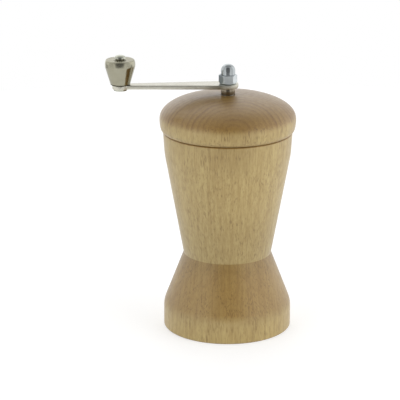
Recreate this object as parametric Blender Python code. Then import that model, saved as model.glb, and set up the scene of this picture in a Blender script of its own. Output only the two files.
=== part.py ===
"""Hand-cranked nutmeg grinder with a turned wooden body.

Units are metres, +Z is up. The origin is on the mill's axis, on the surface that it stands on.
The crank arm points along -X at rest. The shaft, claw and crank turn together on the axis and
slide up through the lid against the spring when a nutmeg lies under the claw.
"""
from math import acos, asin, atan2, cos, pi, sin, sqrt, tan, tau

import bmesh
import bpy
from mathutils import Matrix, Vector

# Gap between pieces that touch, and how far a cutter overruns what it cuts
GAP = 0.0003
OVERRUN = 0.001
MERGE_DISTANCE = 0.000001

# Wooden body, outside
BODY_HEIGHT = 0.101
BASE_RADIUS = 0.0319
BASE_EDGE_RADIUS = 0.0009
SHOULDER_HEIGHT = 0.0124
SHOULDER_RADIUS = 0.0042
WAIST_RADIUS = 0.0219
WAIST_HEIGHT = 0.0384
FLARE_RADIUS = 0.0313
FLARE_DROP = 0.0114
FLARE_ROUNDING = 0.036
BODY_TOP_RADIUS = 0.0321
BODY_TOP_EDGE = 0.0003

# Wooden body, inside
CHAMBER_RADIUS = 0.017
MOUTH_RADIUS = 0.022
MOUTH_DEPTH = 0.010
FOOT_RADIUS = 0.026
FOOT_FLARE = 0.0008
FOOT_DEPTH = 0.012

# Wooden lid
LID_BULGE_RADIUS = 0.03375
LID_RIM_RADIUS = 0.0325
LID_RIM_EDGE = 0.0004
LID_BULGE_HEIGHT = 0.006
LID_HEIGHT = 0.0183
LID_ROUNDNESS = 2.175
SPIGOT_LENGTH = 0.0079

# Bush through the lid, and the plate under its spigot
BUSH_WALL = 0.0005
BEARING_PLATE_RADIUS = 0.0195
BEARING_PLATE_THICKNESS = 0.001

# Drive shaft
SHAFT_RADIUS = 0.0025
SHAFT_FLAT_HALF_WIDTH = 0.002
SHAFT_END_CHAMFER = 0.0004
COLLAR_RADIUS = 0.0045
COLLAR_LENGTH = 0.003
SHAFT_TIP_LENGTH = 0.0008

# Crank
SLEEVE_RADIUS = 0.0035
SLEEVE_LENGTH = 0.0029
ARM_THICKNESS = 0.002
ARM_LENGTH = 0.0529
ARM_HUB_RADIUS = 0.0052
ARM_NECK_HALF_WIDTH = 0.0023
ARM_EYE_RADIUS = 0.004
ARM_NECK_FILLET = 0.002

# Cap nut
NUT_ACROSS_FLATS = 0.008
NUT_HEX_HEIGHT = 0.0042
NUT_HEIGHT = 0.0094
NUT_DOME_RADIUS = 0.0036
NUT_CHAMFER_ANGLE = pi / 6
NUT_TURN = pi / 450
NUT_THREAD_DEPTH = 0.0072

# Knob and the rivet that it turns on
KNOB_FOOT_RADIUS = 0.0047
KNOB_RADIUS = 0.0075
KNOB_SHOULDER = 0.0009
KNOB_FLARE_HEIGHT = 0.0091
KNOB_BAND_HEIGHT = 0.0012
KNOB_HEIGHT = 0.0123
KNOB_FOOT_EDGE = 0.0003
PIN_RADIUS = 0.0019
PIN_HEAD_RADIUS = 0.0029
PIN_HEAD_HEIGHT = 0.002
PIN_FOOT_RADIUS = 0.0034
PIN_FOOT_HEIGHT = 0.0005

# Claw
CLAW_DISC_RADIUS = 0.0078
CLAW_THICKNESS = 0.0012
CLAW_PRONG_COUNT = 3
CLAW_PRONG_RADIUS = 0.0098
CLAW_PRONG_DROP = 0.008
CLAW_PRONG_WIDTH = 0.005
CLAW_TIP_WIDTH = 0.0008
CLAW_BEND_RADIUS = 0.0016
CLAW_REST_CLEARANCE = 0.0068
CLAW_NUT_ACROSS_FLATS = 0.008
CLAW_NUT_HEIGHT = 0.0027

# Spring and the washer under it
THRUST_WASHER_RADIUS = 0.0062
THRUST_WASHER_THICKNESS = 0.001
SPRING_RADIUS = 0.0046
SPRING_WIRE_RADIUS = 0.0005
SPRING_TURNS = 11
SPRING_END_TURNS = 1
SPRING_END_GAP = 0.00045
SPRING_POINTS_PER_TURN = 10

# Blade plate, blade and rivets
BLADE_PLATE_RADIUS = 0.023
BLADE_PLATE_THICKNESS = 0.001
SLOT_INNER = 0.0005
SLOT_WIDTH = 0.0032
BLADE_WALL_CLEARANCE = 0.0006
BLADE_END_MARGIN = 0.0004
BLADE_WIDTH = 0.0078
BLADE_LIFTED_WIDTH = 0.0032
BLADE_THICKNESS = 0.0006
BLADE_RISE = 0.0008
BLADE_OVERHANG = 0.0012
RIVET_RADIUS = 0.0009
RIVET_HEAD_RADIUS = 0.0017
RIVET_HEAD_HEIGHT = 0.0006
RIVET_SPACING = 0.0085

# Wood screws
SCREW_COUNT = 3
SCREW_RADIUS = 0.0014
SCREW_TIP_RADIUS = 0.0004
SCREW_TIP_LENGTH = 0.0024
SCREW_LENGTH = 0.0078
SCREW_HEAD_RADIUS = 0.0027
SCREW_HEAD_HEIGHT = 0.0015
LID_SCREW_CIRCLE = 0.0122
BASE_SCREW_CIRCLE = 0.0201

# Facets
BODY_SEGMENTS = 48
PIECE_SEGMENTS = 24
SMALL_SEGMENTS = 16
HEX_SIDES = 6
SHARP_ANGLE = pi / 6

# Radii of the holes that pieces pass through
SHAFT_HOLE_RADIUS = SHAFT_RADIUS + GAP
BUSH_RADIUS = SHAFT_HOLE_RADIUS + BUSH_WALL
LID_BORE_RADIUS = BUSH_RADIUS + GAP
PIN_HOLE_RADIUS = PIN_RADIUS + GAP
RIVET_HOLE_RADIUS = RIVET_RADIUS + GAP
SCREW_HOLE_RADIUS = SCREW_RADIUS + GAP
SPIGOT_RADIUS = MOUTH_RADIUS - GAP

# Heights from the foot up: blade plate, blade, claw, shaft and spring
BLADE_PLATE_TOP = FOOT_DEPTH + BLADE_PLATE_THICKNESS
CHAMBER_FLOOR = BLADE_PLATE_TOP + GAP
BLADE_TOP = CHAMBER_FLOOR + BLADE_THICKNESS
CLAW_TIP = BLADE_PLATE_TOP + CLAW_REST_CLEARANCE
CLAW_BOTTOM = CLAW_TIP + CLAW_PRONG_DROP
CLAW_TOP = CLAW_BOTTOM + CLAW_THICKNESS
CLAW_NUT_TOP = CLAW_BOTTOM - GAP
CLAW_NUT_BOTTOM = CLAW_NUT_TOP - CLAW_NUT_HEIGHT
SHAFT_BOTTOM = CLAW_NUT_BOTTOM - SHAFT_TIP_LENGTH
COLLAR_BOTTOM = CLAW_TOP + GAP
COLLAR_TOP = COLLAR_BOTTOM + COLLAR_LENGTH
THRUST_WASHER_BOTTOM = COLLAR_TOP + GAP
THRUST_WASHER_TOP = THRUST_WASHER_BOTTOM + THRUST_WASHER_THICKNESS

# Plan of the blade: its edge stands over the slot, and its heel reaches towards the chamber's wall
BLADE_EDGE = BLADE_OVERHANG - SLOT_WIDTH / 2
BLADE_BEND = BLADE_EDGE - BLADE_LIFTED_WIDTH
BLADE_HEEL = BLADE_EDGE - BLADE_WIDTH
BLADE_OUTER = sqrt((CHAMBER_RADIUS - BLADE_WALL_CLEARANCE) ** 2 - BLADE_HEEL ** 2)
BLADE_INNER = SLOT_INNER - BLADE_END_MARGIN
BLADE_MIDDLE = (BLADE_INNER + BLADE_OUTER) / 2
SLOT_OUTER = BLADE_OUTER - BLADE_END_MARGIN

# Heights of the lid and of what hangs under it
MOUTH_FLOOR = BODY_HEIGHT - MOUTH_DEPTH
LID_BOTTOM = BODY_HEIGHT + GAP
LID_TOP = LID_BOTTOM + LID_HEIGHT
SPIGOT_BOTTOM = LID_BOTTOM - SPIGOT_LENGTH
BEARING_PLATE_TOP = SPIGOT_BOTTOM - GAP
BEARING_PLATE_BOTTOM = BEARING_PLATE_TOP - BEARING_PLATE_THICKNESS

# Heights of the crank above the lid
SLEEVE_BOTTOM = LID_TOP + GAP
SLEEVE_TOP = SLEEVE_BOTTOM + SLEEVE_LENGTH
ARM_BOTTOM = SLEEVE_TOP + GAP
ARM_TOP = ARM_BOTTOM + ARM_THICKNESS
NUT_BOTTOM = ARM_TOP + GAP
SHAFT_TOP = NUT_BOTTOM + NUT_THREAD_DEPTH - GAP
KNOB_BOTTOM = ARM_TOP + GAP
KNOB_TOP = KNOB_BOTTOM + KNOB_HEIGHT
PIN_FOOT_TOP = ARM_BOTTOM - GAP
PIN_FOOT_BOTTOM = PIN_FOOT_TOP - PIN_FOOT_HEIGHT
PIN_HEAD_BOTTOM = KNOB_TOP + GAP

# Finishes as colour, roughness and metallic value
FINISHES = {
    "beech": ((0.56, 0.37, 0.20), 0.55, 0.0),
    "nickel": ((0.60, 0.57, 0.50), 0.28, 1.0),
    "zinc": ((0.62, 0.65, 0.67), 0.30, 1.0),
    "steel": ((0.58, 0.58, 0.57), 0.35, 1.0),
    "spring_steel": ((0.42, 0.42, 0.42), 0.32, 1.0),
}


def clear_scene():
    """Remove what the scene holds."""
    for thing in list(bpy.data.objects):
        bpy.data.objects.remove(thing, do_unlink=True)


def finish_material(name, finish):
    """A material of the piece's own with the named finish."""
    colour, roughness, metallic = FINISHES[finish]
    material = bpy.data.materials.new(name)
    material.use_nodes = True
    shader = material.node_tree.nodes["Principled BSDF"]
    shader.inputs["Base Color"].default_value = (*colour, 1)
    shader.inputs["Roughness"].default_value = roughness
    shader.inputs["Metallic"].default_value = metallic
    material.diffuse_color = (*colour, 1)
    return material


# Outlines


def arc(centre, radius, start, end, steps):
    """Points on an arc round a centre, both ends included."""
    points = []
    for step in range(steps + 1):
        angle = start + (end - start) * step / steps
        points.append((centre[0] + radius * cos(angle), centre[1] + radius * sin(angle)))
    return points


def rounded_corner(before, corner, after, radius, steps):
    """Points of the arc that rounds the corner between two straight runs."""
    corner = Vector(corner)
    towards_before = (Vector(before) - corner).normalized()
    towards_after = (Vector(after) - corner).normalized()
    half_angle = acos(towards_before.dot(towards_after)) / 2
    reach = radius / tan(half_angle)
    middle = (towards_before + towards_after).normalized()
    centre = corner + middle * (radius / sin(half_angle))
    first = corner + towards_before * reach - centre
    last = corner + towards_after * reach - centre
    points = []
    for step in range(steps + 1):
        share = step / steps
        spoke = (first * (1 - share) + last * share).normalized()
        points.append(tuple(centre + spoke * radius))
    return points


def body_outline():
    """Radius and height round the body's wall, up the outside and down the bore."""
    edge_centre = (BASE_RADIUS - BASE_EDGE_RADIUS, BASE_EDGE_RADIUS)
    base = (BASE_RADIUS, BASE_EDGE_RADIUS)
    shoulder = (BASE_RADIUS, SHOULDER_HEIGHT)
    waist = (WAIST_RADIUS, WAIST_HEIGHT)
    flare = (FLARE_RADIUS, BODY_HEIGHT - FLARE_DROP)
    top = (BODY_TOP_RADIUS, BODY_HEIGHT - BODY_TOP_EDGE)
    outline = [(FOOT_RADIUS + FOOT_FLARE, 0)]
    outline += arc(edge_centre, BASE_EDGE_RADIUS, -pi / 2, 0, 3)
    outline += rounded_corner(base, shoulder, waist, SHOULDER_RADIUS, 5)
    outline += [waist]
    outline += rounded_corner(waist, flare, top, FLARE_ROUNDING, 5)
    outline += [top]
    outline += [(BODY_TOP_RADIUS - BODY_TOP_EDGE, BODY_HEIGHT)]
    outline += [(MOUTH_RADIUS, BODY_HEIGHT)]
    outline += [(MOUTH_RADIUS, MOUTH_FLOOR)]
    outline += [(CHAMBER_RADIUS, MOUTH_FLOOR)]
    outline += [(CHAMBER_RADIUS, CHAMBER_FLOOR)]
    outline += [(BLADE_PLATE_RADIUS + GAP, CHAMBER_FLOOR)]
    outline += [(BLADE_PLATE_RADIUS + GAP, FOOT_DEPTH)]
    outline += [(FOOT_RADIUS, FOOT_DEPTH)]
    return outline


def lid_dome(steps):
    """Radius and height up the lid's dome, from its widest line to its bore."""
    bulge_height = LID_BOTTOM + LID_BULGE_HEIGHT
    rise = LID_HEIGHT - LID_BULGE_HEIGHT
    last = acos((LID_BORE_RADIUS / LID_BULGE_RADIUS) ** (LID_ROUNDNESS / 2))
    points = []
    for step in range(steps + 1):
        angle = last * step / steps
        radius = LID_BULGE_RADIUS * cos(angle) ** (2 / LID_ROUNDNESS)
        height = bulge_height + rise * sin(angle) ** (2 / LID_ROUNDNESS)
        points.append((radius, height))
    return points


def lid_outline():
    """Radius and height round the lid's wall, from its spigot round the dome to the bore."""
    edge_centre = (LID_RIM_RADIUS - LID_RIM_EDGE, LID_BOTTOM + LID_RIM_EDGE)
    rim_height = LID_BOTTOM + LID_RIM_EDGE
    swell = LID_BULGE_RADIUS - LID_RIM_RADIUS
    climb = LID_BULGE_HEIGHT - LID_RIM_EDGE
    swell_steps = 5
    outline = [(LID_BORE_RADIUS, SPIGOT_BOTTOM)]
    outline += [(SPIGOT_RADIUS, SPIGOT_BOTTOM)]
    outline += [(SPIGOT_RADIUS, LID_BOTTOM)]
    outline += arc(edge_centre, LID_RIM_EDGE, -pi / 2, 0, 2)
    for step in range(1, swell_steps):
        angle = pi / 2 * step / swell_steps
        outline.append((LID_RIM_RADIUS + swell * sin(angle), rim_height + climb * (1 - cos(angle))))
    outline += lid_dome(12)
    return outline


def ring_outline(inner, outer, bottom, top):
    """Radius and height round a plain ring."""
    return [(inner, bottom), (outer, bottom), (outer, top), (inner, top)]


def shaft_outline():
    """Radius and height along the shaft, from its lower end to its top."""
    return [
        (0, SHAFT_BOTTOM),
        (SHAFT_RADIUS - SHAFT_END_CHAMFER, SHAFT_BOTTOM),
        (SHAFT_RADIUS, SHAFT_BOTTOM + SHAFT_END_CHAMFER),
        (SHAFT_RADIUS, COLLAR_BOTTOM),
        (COLLAR_RADIUS, COLLAR_BOTTOM),
        (COLLAR_RADIUS, COLLAR_TOP),
        (SHAFT_RADIUS, COLLAR_TOP),
        (SHAFT_RADIUS, SHAFT_TOP - SHAFT_END_CHAMFER),
        (SHAFT_RADIUS - SHAFT_END_CHAMFER, SHAFT_TOP),
        (0, SHAFT_TOP),
    ]


def screw_outline(seat, direction):
    """Radius and height of a domed wood screw whose head meets a plate's face at its seat."""
    under_head = seat - direction * GAP
    dome = arc((0, 0), 1, pi / 2, 0, 4)
    outline = []
    for across_share, height_share in dome:
        height = under_head - direction * SCREW_HEAD_HEIGHT * height_share
        outline.append((SCREW_HEAD_RADIUS * across_share, height))
    outline[0] = (0, outline[0][1])
    outline.append((SCREW_RADIUS, under_head))
    outline.append((SCREW_RADIUS, under_head + direction * (SCREW_LENGTH - SCREW_TIP_LENGTH)))
    outline.append((SCREW_TIP_RADIUS, under_head + direction * SCREW_LENGTH))
    outline.append((0, under_head + direction * SCREW_LENGTH))
    return outline


def knob_outline():
    """Radius and height round the knob's wall, up its flare and band and over its shoulder."""
    foot_edge = KNOB_BOTTOM + KNOB_FOOT_EDGE
    widest = KNOB_BOTTOM + KNOB_FLARE_HEIGHT
    band_top = widest + KNOB_BAND_HEIGHT
    top_radius = KNOB_RADIUS - KNOB_SHOULDER
    shoulder_rise = KNOB_TOP - band_top
    outline = [(PIN_HOLE_RADIUS, KNOB_BOTTOM)]
    outline += [(KNOB_FOOT_RADIUS - KNOB_FOOT_EDGE, KNOB_BOTTOM)]
    outline += [(KNOB_FOOT_RADIUS, foot_edge)]
    outline += [(KNOB_RADIUS, widest)]
    for across_share, rise_share in arc((0, 0), 1, 0, pi / 2, 5):
        radius = top_radius + KNOB_SHOULDER * across_share
        outline.append((radius, band_top + shoulder_rise * rise_share))
    outline += [(PIN_HOLE_RADIUS, KNOB_TOP)]
    return outline


def pin_outline():
    """Radius and height of the knob's rivet, from its flat foot to its domed head."""
    outline = [
        (0, PIN_FOOT_BOTTOM),
        (PIN_FOOT_RADIUS, PIN_FOOT_BOTTOM),
        (PIN_FOOT_RADIUS, PIN_FOOT_TOP),
        (PIN_RADIUS, PIN_FOOT_TOP),
        (PIN_RADIUS, PIN_HEAD_BOTTOM),
    ]
    for across_share, rise_share in arc((0, 0), 1, 0, pi / 2, 5)[:-1]:
        outline.append((PIN_HEAD_RADIUS * across_share, PIN_HEAD_BOTTOM + PIN_HEAD_HEIGHT * rise_share))
    outline.append((0, PIN_HEAD_BOTTOM + PIN_HEAD_HEIGHT))
    return outline


def arm_outline():
    """Outline of the crank arm: a hub, a tapered strip, and an eye on small fillets."""
    lean = asin((ARM_HUB_RADIUS - ARM_NECK_HALF_WIDTH) / ARM_LENGTH)
    normal = Vector((-sin(lean), cos(lean)))
    along = Vector((-normal.y, normal.x))
    eye = Vector((-ARM_LENGTH, 0))
    offset = ARM_NECK_HALF_WIDTH + ARM_NECK_FILLET
    back = sqrt((ARM_EYE_RADIUS + ARM_NECK_FILLET) ** 2 - offset ** 2)
    fillet_centre = eye + normal * offset - along * back
    to_strip = atan2(-normal.y, -normal.x)
    towards_eye = eye - fillet_centre
    to_eye = atan2(towards_eye.y, towards_eye.x)
    eye_start = atan2(-towards_eye.y, -towards_eye.x)
    side = arc((0, 0), ARM_HUB_RADIUS, 0, atan2(normal.y, normal.x), 8)
    side += arc(fillet_centre, ARM_NECK_FILLET, to_strip, to_eye, 3)
    side += arc(eye, ARM_EYE_RADIUS, eye_start, pi, 8)
    other_side = [(x, -y) for x, y in reversed(side[1:-1])]
    return side + other_side


def double_flat_outline(radius, half_width, steps):
    """A circle with two flats, one on each side of the X axis."""
    flat_angle = asin(half_width / radius)
    right = arc((0, 0), radius, -flat_angle, flat_angle, steps)
    left = arc((0, 0), radius, pi - flat_angle, pi + flat_angle, steps)
    return right + left


def blade_section():
    """The blade's section: a flat heel, then a run that rises to the cutting edge."""
    return [
        (BLADE_HEEL, CHAMBER_FLOOR),
        (BLADE_BEND, CHAMBER_FLOOR),
        (BLADE_EDGE, CHAMBER_FLOOR + BLADE_RISE + BLADE_THICKNESS / 2),
        (BLADE_EDGE, BLADE_TOP + BLADE_RISE),
        (BLADE_BEND, BLADE_TOP),
        (BLADE_HEEL, BLADE_TOP),
    ]


# Solids


def new_object(name, mesh, finish=None, parent=None, location=(0, 0, 0)):
    """Put a mesh in the scene as a piece, or as a cutter when it has no finish."""
    piece = bpy.data.objects.new(name, mesh)
    bpy.context.scene.collection.objects.link(piece)
    piece.location = location
    if parent:
        piece.parent = parent
    if finish:
        mesh.materials.append(finish_material(name, finish))
        mesh.shade_smooth()
        mesh.set_sharp_from_angle(angle=SHARP_ANGLE)
    else:
        piece.hide_render = True
        piece.display_type = "WIRE"
    return piece


def finished_mesh(name, shape):
    """Close a bmesh, turn its faces outward and make a mesh of it."""
    bmesh.ops.remove_doubles(shape, verts=shape.verts, dist=MERGE_DISTANCE)
    bmesh.ops.recalc_face_normals(shape, faces=shape.faces)
    mesh = bpy.data.meshes.new(name)
    shape.to_mesh(mesh)
    shape.free()
    return mesh


def turned_mesh(name, outline, segments):
    """Turn an outline of radius and height round the Z axis."""
    shape = bmesh.new()
    rim = [shape.verts.new((radius, 0, height)) for radius, height in outline]
    on_axis = outline[0][0] == 0 and outline[-1][0] == 0
    pairs = list(zip(rim, rim[1:]))
    if not on_axis:
        pairs.append((rim[-1], rim[0]))
    edges = [shape.edges.new(pair) for pair in pairs]
    bmesh.ops.spin(
        shape,
        geom=rim + edges,
        cent=(0, 0, 0),
        axis=(0, 0, 1),
        angle=tau,
        steps=segments,
        use_merge=True,
    )
    return finished_mesh(name, shape)


def extruded_mesh(name, outline, bottom, top):
    """Raise an outline in the XY plane from one height to another."""
    shape = bmesh.new()
    corners = [shape.verts.new((x, y, bottom)) for x, y in outline]
    floor = shape.faces.new(corners)
    raised = bmesh.ops.extrude_face_region(shape, geom=[floor])
    raised_verts = [part for part in raised["geom"] if isinstance(part, bmesh.types.BMVert)]
    bmesh.ops.translate(shape, verts=raised_verts, vec=(0, 0, top - bottom))
    return finished_mesh(name, shape)


def turned(name, outline, finish=None, segments=PIECE_SEGMENTS, parent=None, location=(0, 0, 0)):
    """A turned piece or cutter."""
    return new_object(name, turned_mesh(name, outline, segments), finish, parent, location)


def extruded(name, outline, bottom, top, finish=None, parent=None, location=(0, 0, 0)):
    """An extruded piece or cutter."""
    return new_object(name, extruded_mesh(name, outline, bottom, top), finish, parent, location)


def combine(piece, other, operation):
    """Cut, join or trim a piece with another object by a Boolean modifier."""
    modifier = piece.modifiers.new(other.name, "BOOLEAN")
    modifier.operation = operation
    modifier.solver = "EXACT"
    modifier.object = other


def round_cutter(name, radius, bottom, top, location=(0, 0, 0)):
    """A round cutter between two heights."""
    outline = [(0, bottom), (radius, bottom), (radius, top), (0, top)]
    return turned(name, outline, segments=SMALL_SEGMENTS, location=location)


def circle_places(radius, count, start=0):
    """Places at equal steps round the mill's axis."""
    places = []
    for index in range(count):
        angle = start + tau * index / count
        places.append((radius * cos(angle), radius * sin(angle), 0))
    return places


# The mill's body, with its blade plate


def make_body():
    """The wooden body, with a blind hole for each base screw."""
    body = turned("wooden_body", body_outline(), "beech", BODY_SEGMENTS)
    for index, place in enumerate(base_screw_places()):
        bottom = CHAMBER_FLOOR - OVERRUN / 2
        top = FOOT_DEPTH + SCREW_LENGTH + OVERRUN
        hole = round_cutter(f"body_screw_hole_{index + 1}", SCREW_HOLE_RADIUS, bottom, top, place)
        combine(body, hole, "DIFFERENCE")


def base_screw_places():
    """Places of the blade plate's screws."""
    return circle_places(BASE_SCREW_CIRCLE, SCREW_COUNT, pi / 2)


def rivet_places():
    """Places of the blade's rivets, on the middle of its flat heel."""
    line = (BLADE_BEND + BLADE_HEEL) / 2
    return [(BLADE_MIDDLE + side * RIVET_SPACING / 2, line, 0) for side in (-1, 1)]


def make_blade_plate():
    """The steel disc under the chamber, with its slot and its holes."""
    disc = [(0, FOOT_DEPTH), (BLADE_PLATE_RADIUS, FOOT_DEPTH)]
    disc += [(BLADE_PLATE_RADIUS, BLADE_PLATE_TOP), (0, BLADE_PLATE_TOP)]
    plate = turned("blade_plate", disc, "steel", BODY_SEGMENTS)
    bottom = FOOT_DEPTH - OVERRUN
    top = BLADE_PLATE_TOP + OVERRUN
    half_width = SLOT_WIDTH / 2
    ends = arc((SLOT_OUTER - half_width, 0), half_width, -pi / 2, pi / 2, 6)
    ends += arc((SLOT_INNER + half_width, 0), half_width, pi / 2, 3 * pi / 2, 6)
    combine(plate, extruded("slot_cutter", ends, bottom, top), "DIFFERENCE")
    for index, place in enumerate(base_screw_places()):
        hole = round_cutter(f"plate_screw_hole_{index + 1}", SCREW_HOLE_RADIUS, bottom, top, place)
        combine(plate, hole, "DIFFERENCE")
    for index, place in enumerate(rivet_places()):
        hole = round_cutter(f"plate_rivet_hole_{index + 1}", RIVET_HOLE_RADIUS, bottom, top, place)
        combine(plate, hole, "DIFFERENCE")


def make_blade():
    """The bent blade over the slot, its heel riveted to the plate."""
    shape = bmesh.new()
    corners = [shape.verts.new((BLADE_INNER, across, height)) for across, height in blade_section()]
    end_face = shape.faces.new(corners)
    pulled = bmesh.ops.extrude_face_region(shape, geom=[end_face])
    pulled_verts = [part for part in pulled["geom"] if isinstance(part, bmesh.types.BMVert)]
    bmesh.ops.translate(shape, verts=pulled_verts, vec=(BLADE_OUTER - BLADE_INNER, 0, 0))
    blade = new_object("grating_blade", finished_mesh("grating_blade", shape), "steel")
    for index, place in enumerate(rivet_places()):
        bottom = BLADE_PLATE_TOP
        top = BLADE_TOP + OVERRUN
        hole = round_cutter(f"blade_rivet_hole_{index + 1}", RIVET_HOLE_RADIUS, bottom, top, place)
        combine(blade, hole, "DIFFERENCE")


def make_rivets():
    """The rivets through the blade's heel and the plate, a head on each end."""
    lower_face = FOOT_DEPTH - GAP
    upper_face = BLADE_TOP + GAP
    outline = [
        (0, lower_face - RIVET_HEAD_HEIGHT),
        (RIVET_HEAD_RADIUS, lower_face - RIVET_HEAD_HEIGHT),
        (RIVET_HEAD_RADIUS, lower_face),
        (RIVET_RADIUS, lower_face),
        (RIVET_RADIUS, upper_face),
        (RIVET_HEAD_RADIUS, upper_face),
        (RIVET_RADIUS, upper_face + RIVET_HEAD_HEIGHT),
        (0, upper_face + RIVET_HEAD_HEIGHT),
    ]
    for index, place in enumerate(rivet_places()):
        turned(f"blade_rivet_{index + 1}", outline, "steel", SMALL_SEGMENTS, location=place)


def make_base_screws():
    """The screws that hold the blade plate up against the wood."""
    outline = screw_outline(FOOT_DEPTH, 1)
    for index, place in enumerate(base_screw_places()):
        turned(f"base_screw_{index + 1}", outline, "steel", SMALL_SEGMENTS, location=place)


# The lid, with its bush and bearing plate


def lid_screw_places():
    """Places of the bearing plate's screws."""
    return circle_places(LID_SCREW_CIRCLE, SCREW_COUNT, pi / 6)


def make_lid():
    """The wooden lid, with a blind hole in its spigot for each screw."""
    lid = turned("wooden_lid", lid_outline(), "beech", BODY_SEGMENTS)
    for index, place in enumerate(lid_screw_places()):
        bottom = SPIGOT_BOTTOM - OVERRUN / 2
        top = BEARING_PLATE_BOTTOM + SCREW_LENGTH + OVERRUN
        hole = round_cutter(f"lid_screw_hole_{index + 1}", SCREW_HOLE_RADIUS, bottom, top, place)
        combine(lid, hole, "DIFFERENCE")


def make_bush():
    """The tube that lines the lid's bore."""
    outline = ring_outline(SHAFT_HOLE_RADIUS, BUSH_RADIUS, SPIGOT_BOTTOM, LID_TOP)
    turned("lid_bush", outline, "steel")


def make_bearing_plate():
    """The plate that closes the spigot and carries the spring's upper end."""
    outline = ring_outline(
        SHAFT_HOLE_RADIUS, BEARING_PLATE_RADIUS, BEARING_PLATE_BOTTOM, BEARING_PLATE_TOP
    )
    plate = turned("bearing_plate", outline, "steel", BODY_SEGMENTS)
    bottom = BEARING_PLATE_BOTTOM - OVERRUN
    top = BEARING_PLATE_TOP + OVERRUN
    for index, place in enumerate(lid_screw_places()):
        hole = round_cutter(f"bearing_screw_hole_{index + 1}", SCREW_HOLE_RADIUS, bottom, top, place)
        combine(plate, hole, "DIFFERENCE")


def make_lid_screws():
    """The screws that hold the bearing plate under the lid."""
    outline = screw_outline(BEARING_PLATE_BOTTOM, 1)
    for index, place in enumerate(lid_screw_places()):
        turned(f"lid_screw_{index + 1}", outline, "steel", SMALL_SEGMENTS, location=place)


# The spring


def spring_path():
    """Points along the spring's wire, with close turns and a straight run at each end."""
    low = THRUST_WASHER_TOP + GAP + SPRING_WIRE_RADIUS
    high = BEARING_PLATE_BOTTOM - GAP - SPRING_WIRE_RADIUS
    end_pitch = 2 * SPRING_WIRE_RADIUS + SPRING_END_GAP
    pitch = (high - low - 2 * SPRING_END_TURNS * end_pitch) / SPRING_TURNS
    turns = SPRING_TURNS + 2 * SPRING_END_TURNS
    points = []
    for step in range(turns * SPRING_POINTS_PER_TURN + 1):
        turn = step / SPRING_POINTS_PER_TURN
        low_part = min(turn, SPRING_END_TURNS)
        high_part = max(turn - SPRING_END_TURNS - SPRING_TURNS, 0)
        middle_part = turn - low_part - high_part
        height = low + (low_part + high_part) * end_pitch + middle_part * pitch
        angle = turn * tau
        points.append(Vector((SPRING_RADIUS * cos(angle), SPRING_RADIUS * sin(angle), height)))
    tail = Vector((0, 2 * SPRING_WIRE_RADIUS, 0))
    return [points[0] - tail] + points + [points[-1] + tail]


def least_gap(points):
    """The least gap between two turns of the spring, surface to surface."""
    least = None
    apart = SPRING_POINTS_PER_TURN // 2
    for index, point in enumerate(points):
        for other in points[index + apart:]:
            distance = (other - point).length
            if least is None or distance < least:
                least = distance
    return least - 2 * SPRING_WIRE_RADIUS


def make_spring():
    """The compression spring between the bearing plate and the washer, one unbroken wire."""
    points = spring_path()
    print("least gap between the spring's turns, in metres:", round(least_gap(points), 5))
    curve = bpy.data.curves.new("press_spring", "CURVE")
    curve.dimensions = "3D"
    curve.bevel_depth = SPRING_WIRE_RADIUS
    curve.bevel_resolution = 1
    curve.use_fill_caps = True
    wire = curve.splines.new("POLY")
    wire.points.add(len(points) - 1)
    for spline_point, point in zip(wire.points, points):
        spline_point.co = (*point, 1)
    spring = bpy.data.objects.new("press_spring", curve)
    bpy.context.scene.collection.objects.link(spring)
    curve.materials.append(finish_material("press_spring", "spring_steel"))


# The crank, which slides and turns as one


def make_thrust_washer(parent):
    """The washer that slides with the shaft's collar and carries the spring's lower end."""
    outline = ring_outline(
        SHAFT_HOLE_RADIUS, THRUST_WASHER_RADIUS, THRUST_WASHER_BOTTOM, THRUST_WASHER_TOP
    )
    turned("thrust_washer", outline, "steel", parent=parent)


def make_shaft(parent):
    """The shaft, with its collar, and with two flats where the arm and the nut sit."""
    shaft = turned("drive_shaft", shaft_outline(), "steel", parent=parent)
    for side, name in ((1, "back"), (-1, "front")):
        near = side * SHAFT_FLAT_HALF_WIDTH
        far = side * (SHAFT_RADIUS + OVERRUN)
        reach = SHAFT_RADIUS + OVERRUN
        block = [(-reach, near), (reach, near), (reach, far), (-reach, far)]
        cutter = extruded(f"shaft_flat_{name}", block, SLEEVE_TOP, SHAFT_TOP + OVERRUN)
        combine(shaft, cutter, "DIFFERENCE")


def make_sleeve(parent):
    """The sleeve that holds the arm clear of the lid."""
    outline = ring_outline(SHAFT_HOLE_RADIUS, SLEEVE_RADIUS, SLEEVE_BOTTOM, SLEEVE_TOP)
    turned("arm_sleeve", outline, "nickel", parent=parent)


def make_arm(parent):
    """The crank arm, with a hole with two flats in its hub and a round one in its eye."""
    arm = extruded("crank_arm", arm_outline(), ARM_BOTTOM, ARM_TOP, "nickel", parent)
    bottom = ARM_BOTTOM - OVERRUN
    top = ARM_TOP + OVERRUN
    hub_hole = double_flat_outline(SHAFT_HOLE_RADIUS, SHAFT_FLAT_HALF_WIDTH + GAP, 5)
    combine(arm, extruded("hub_hole", hub_hole, bottom, top), "DIFFERENCE")
    eye_hole = round_cutter("eye_hole", PIN_HOLE_RADIUS, bottom, top, (-ARM_LENGTH, 0, 0))
    combine(arm, eye_hole, "DIFFERENCE")


def hexagon(across_flats):
    """Corners of a hexagon, turned a little off the arm's line."""
    corner_radius = across_flats / 2 / cos(pi / HEX_SIDES)
    return arc((0, 0), corner_radius, NUT_TURN, NUT_TURN + tau, HEX_SIDES)[:-1]


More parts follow.
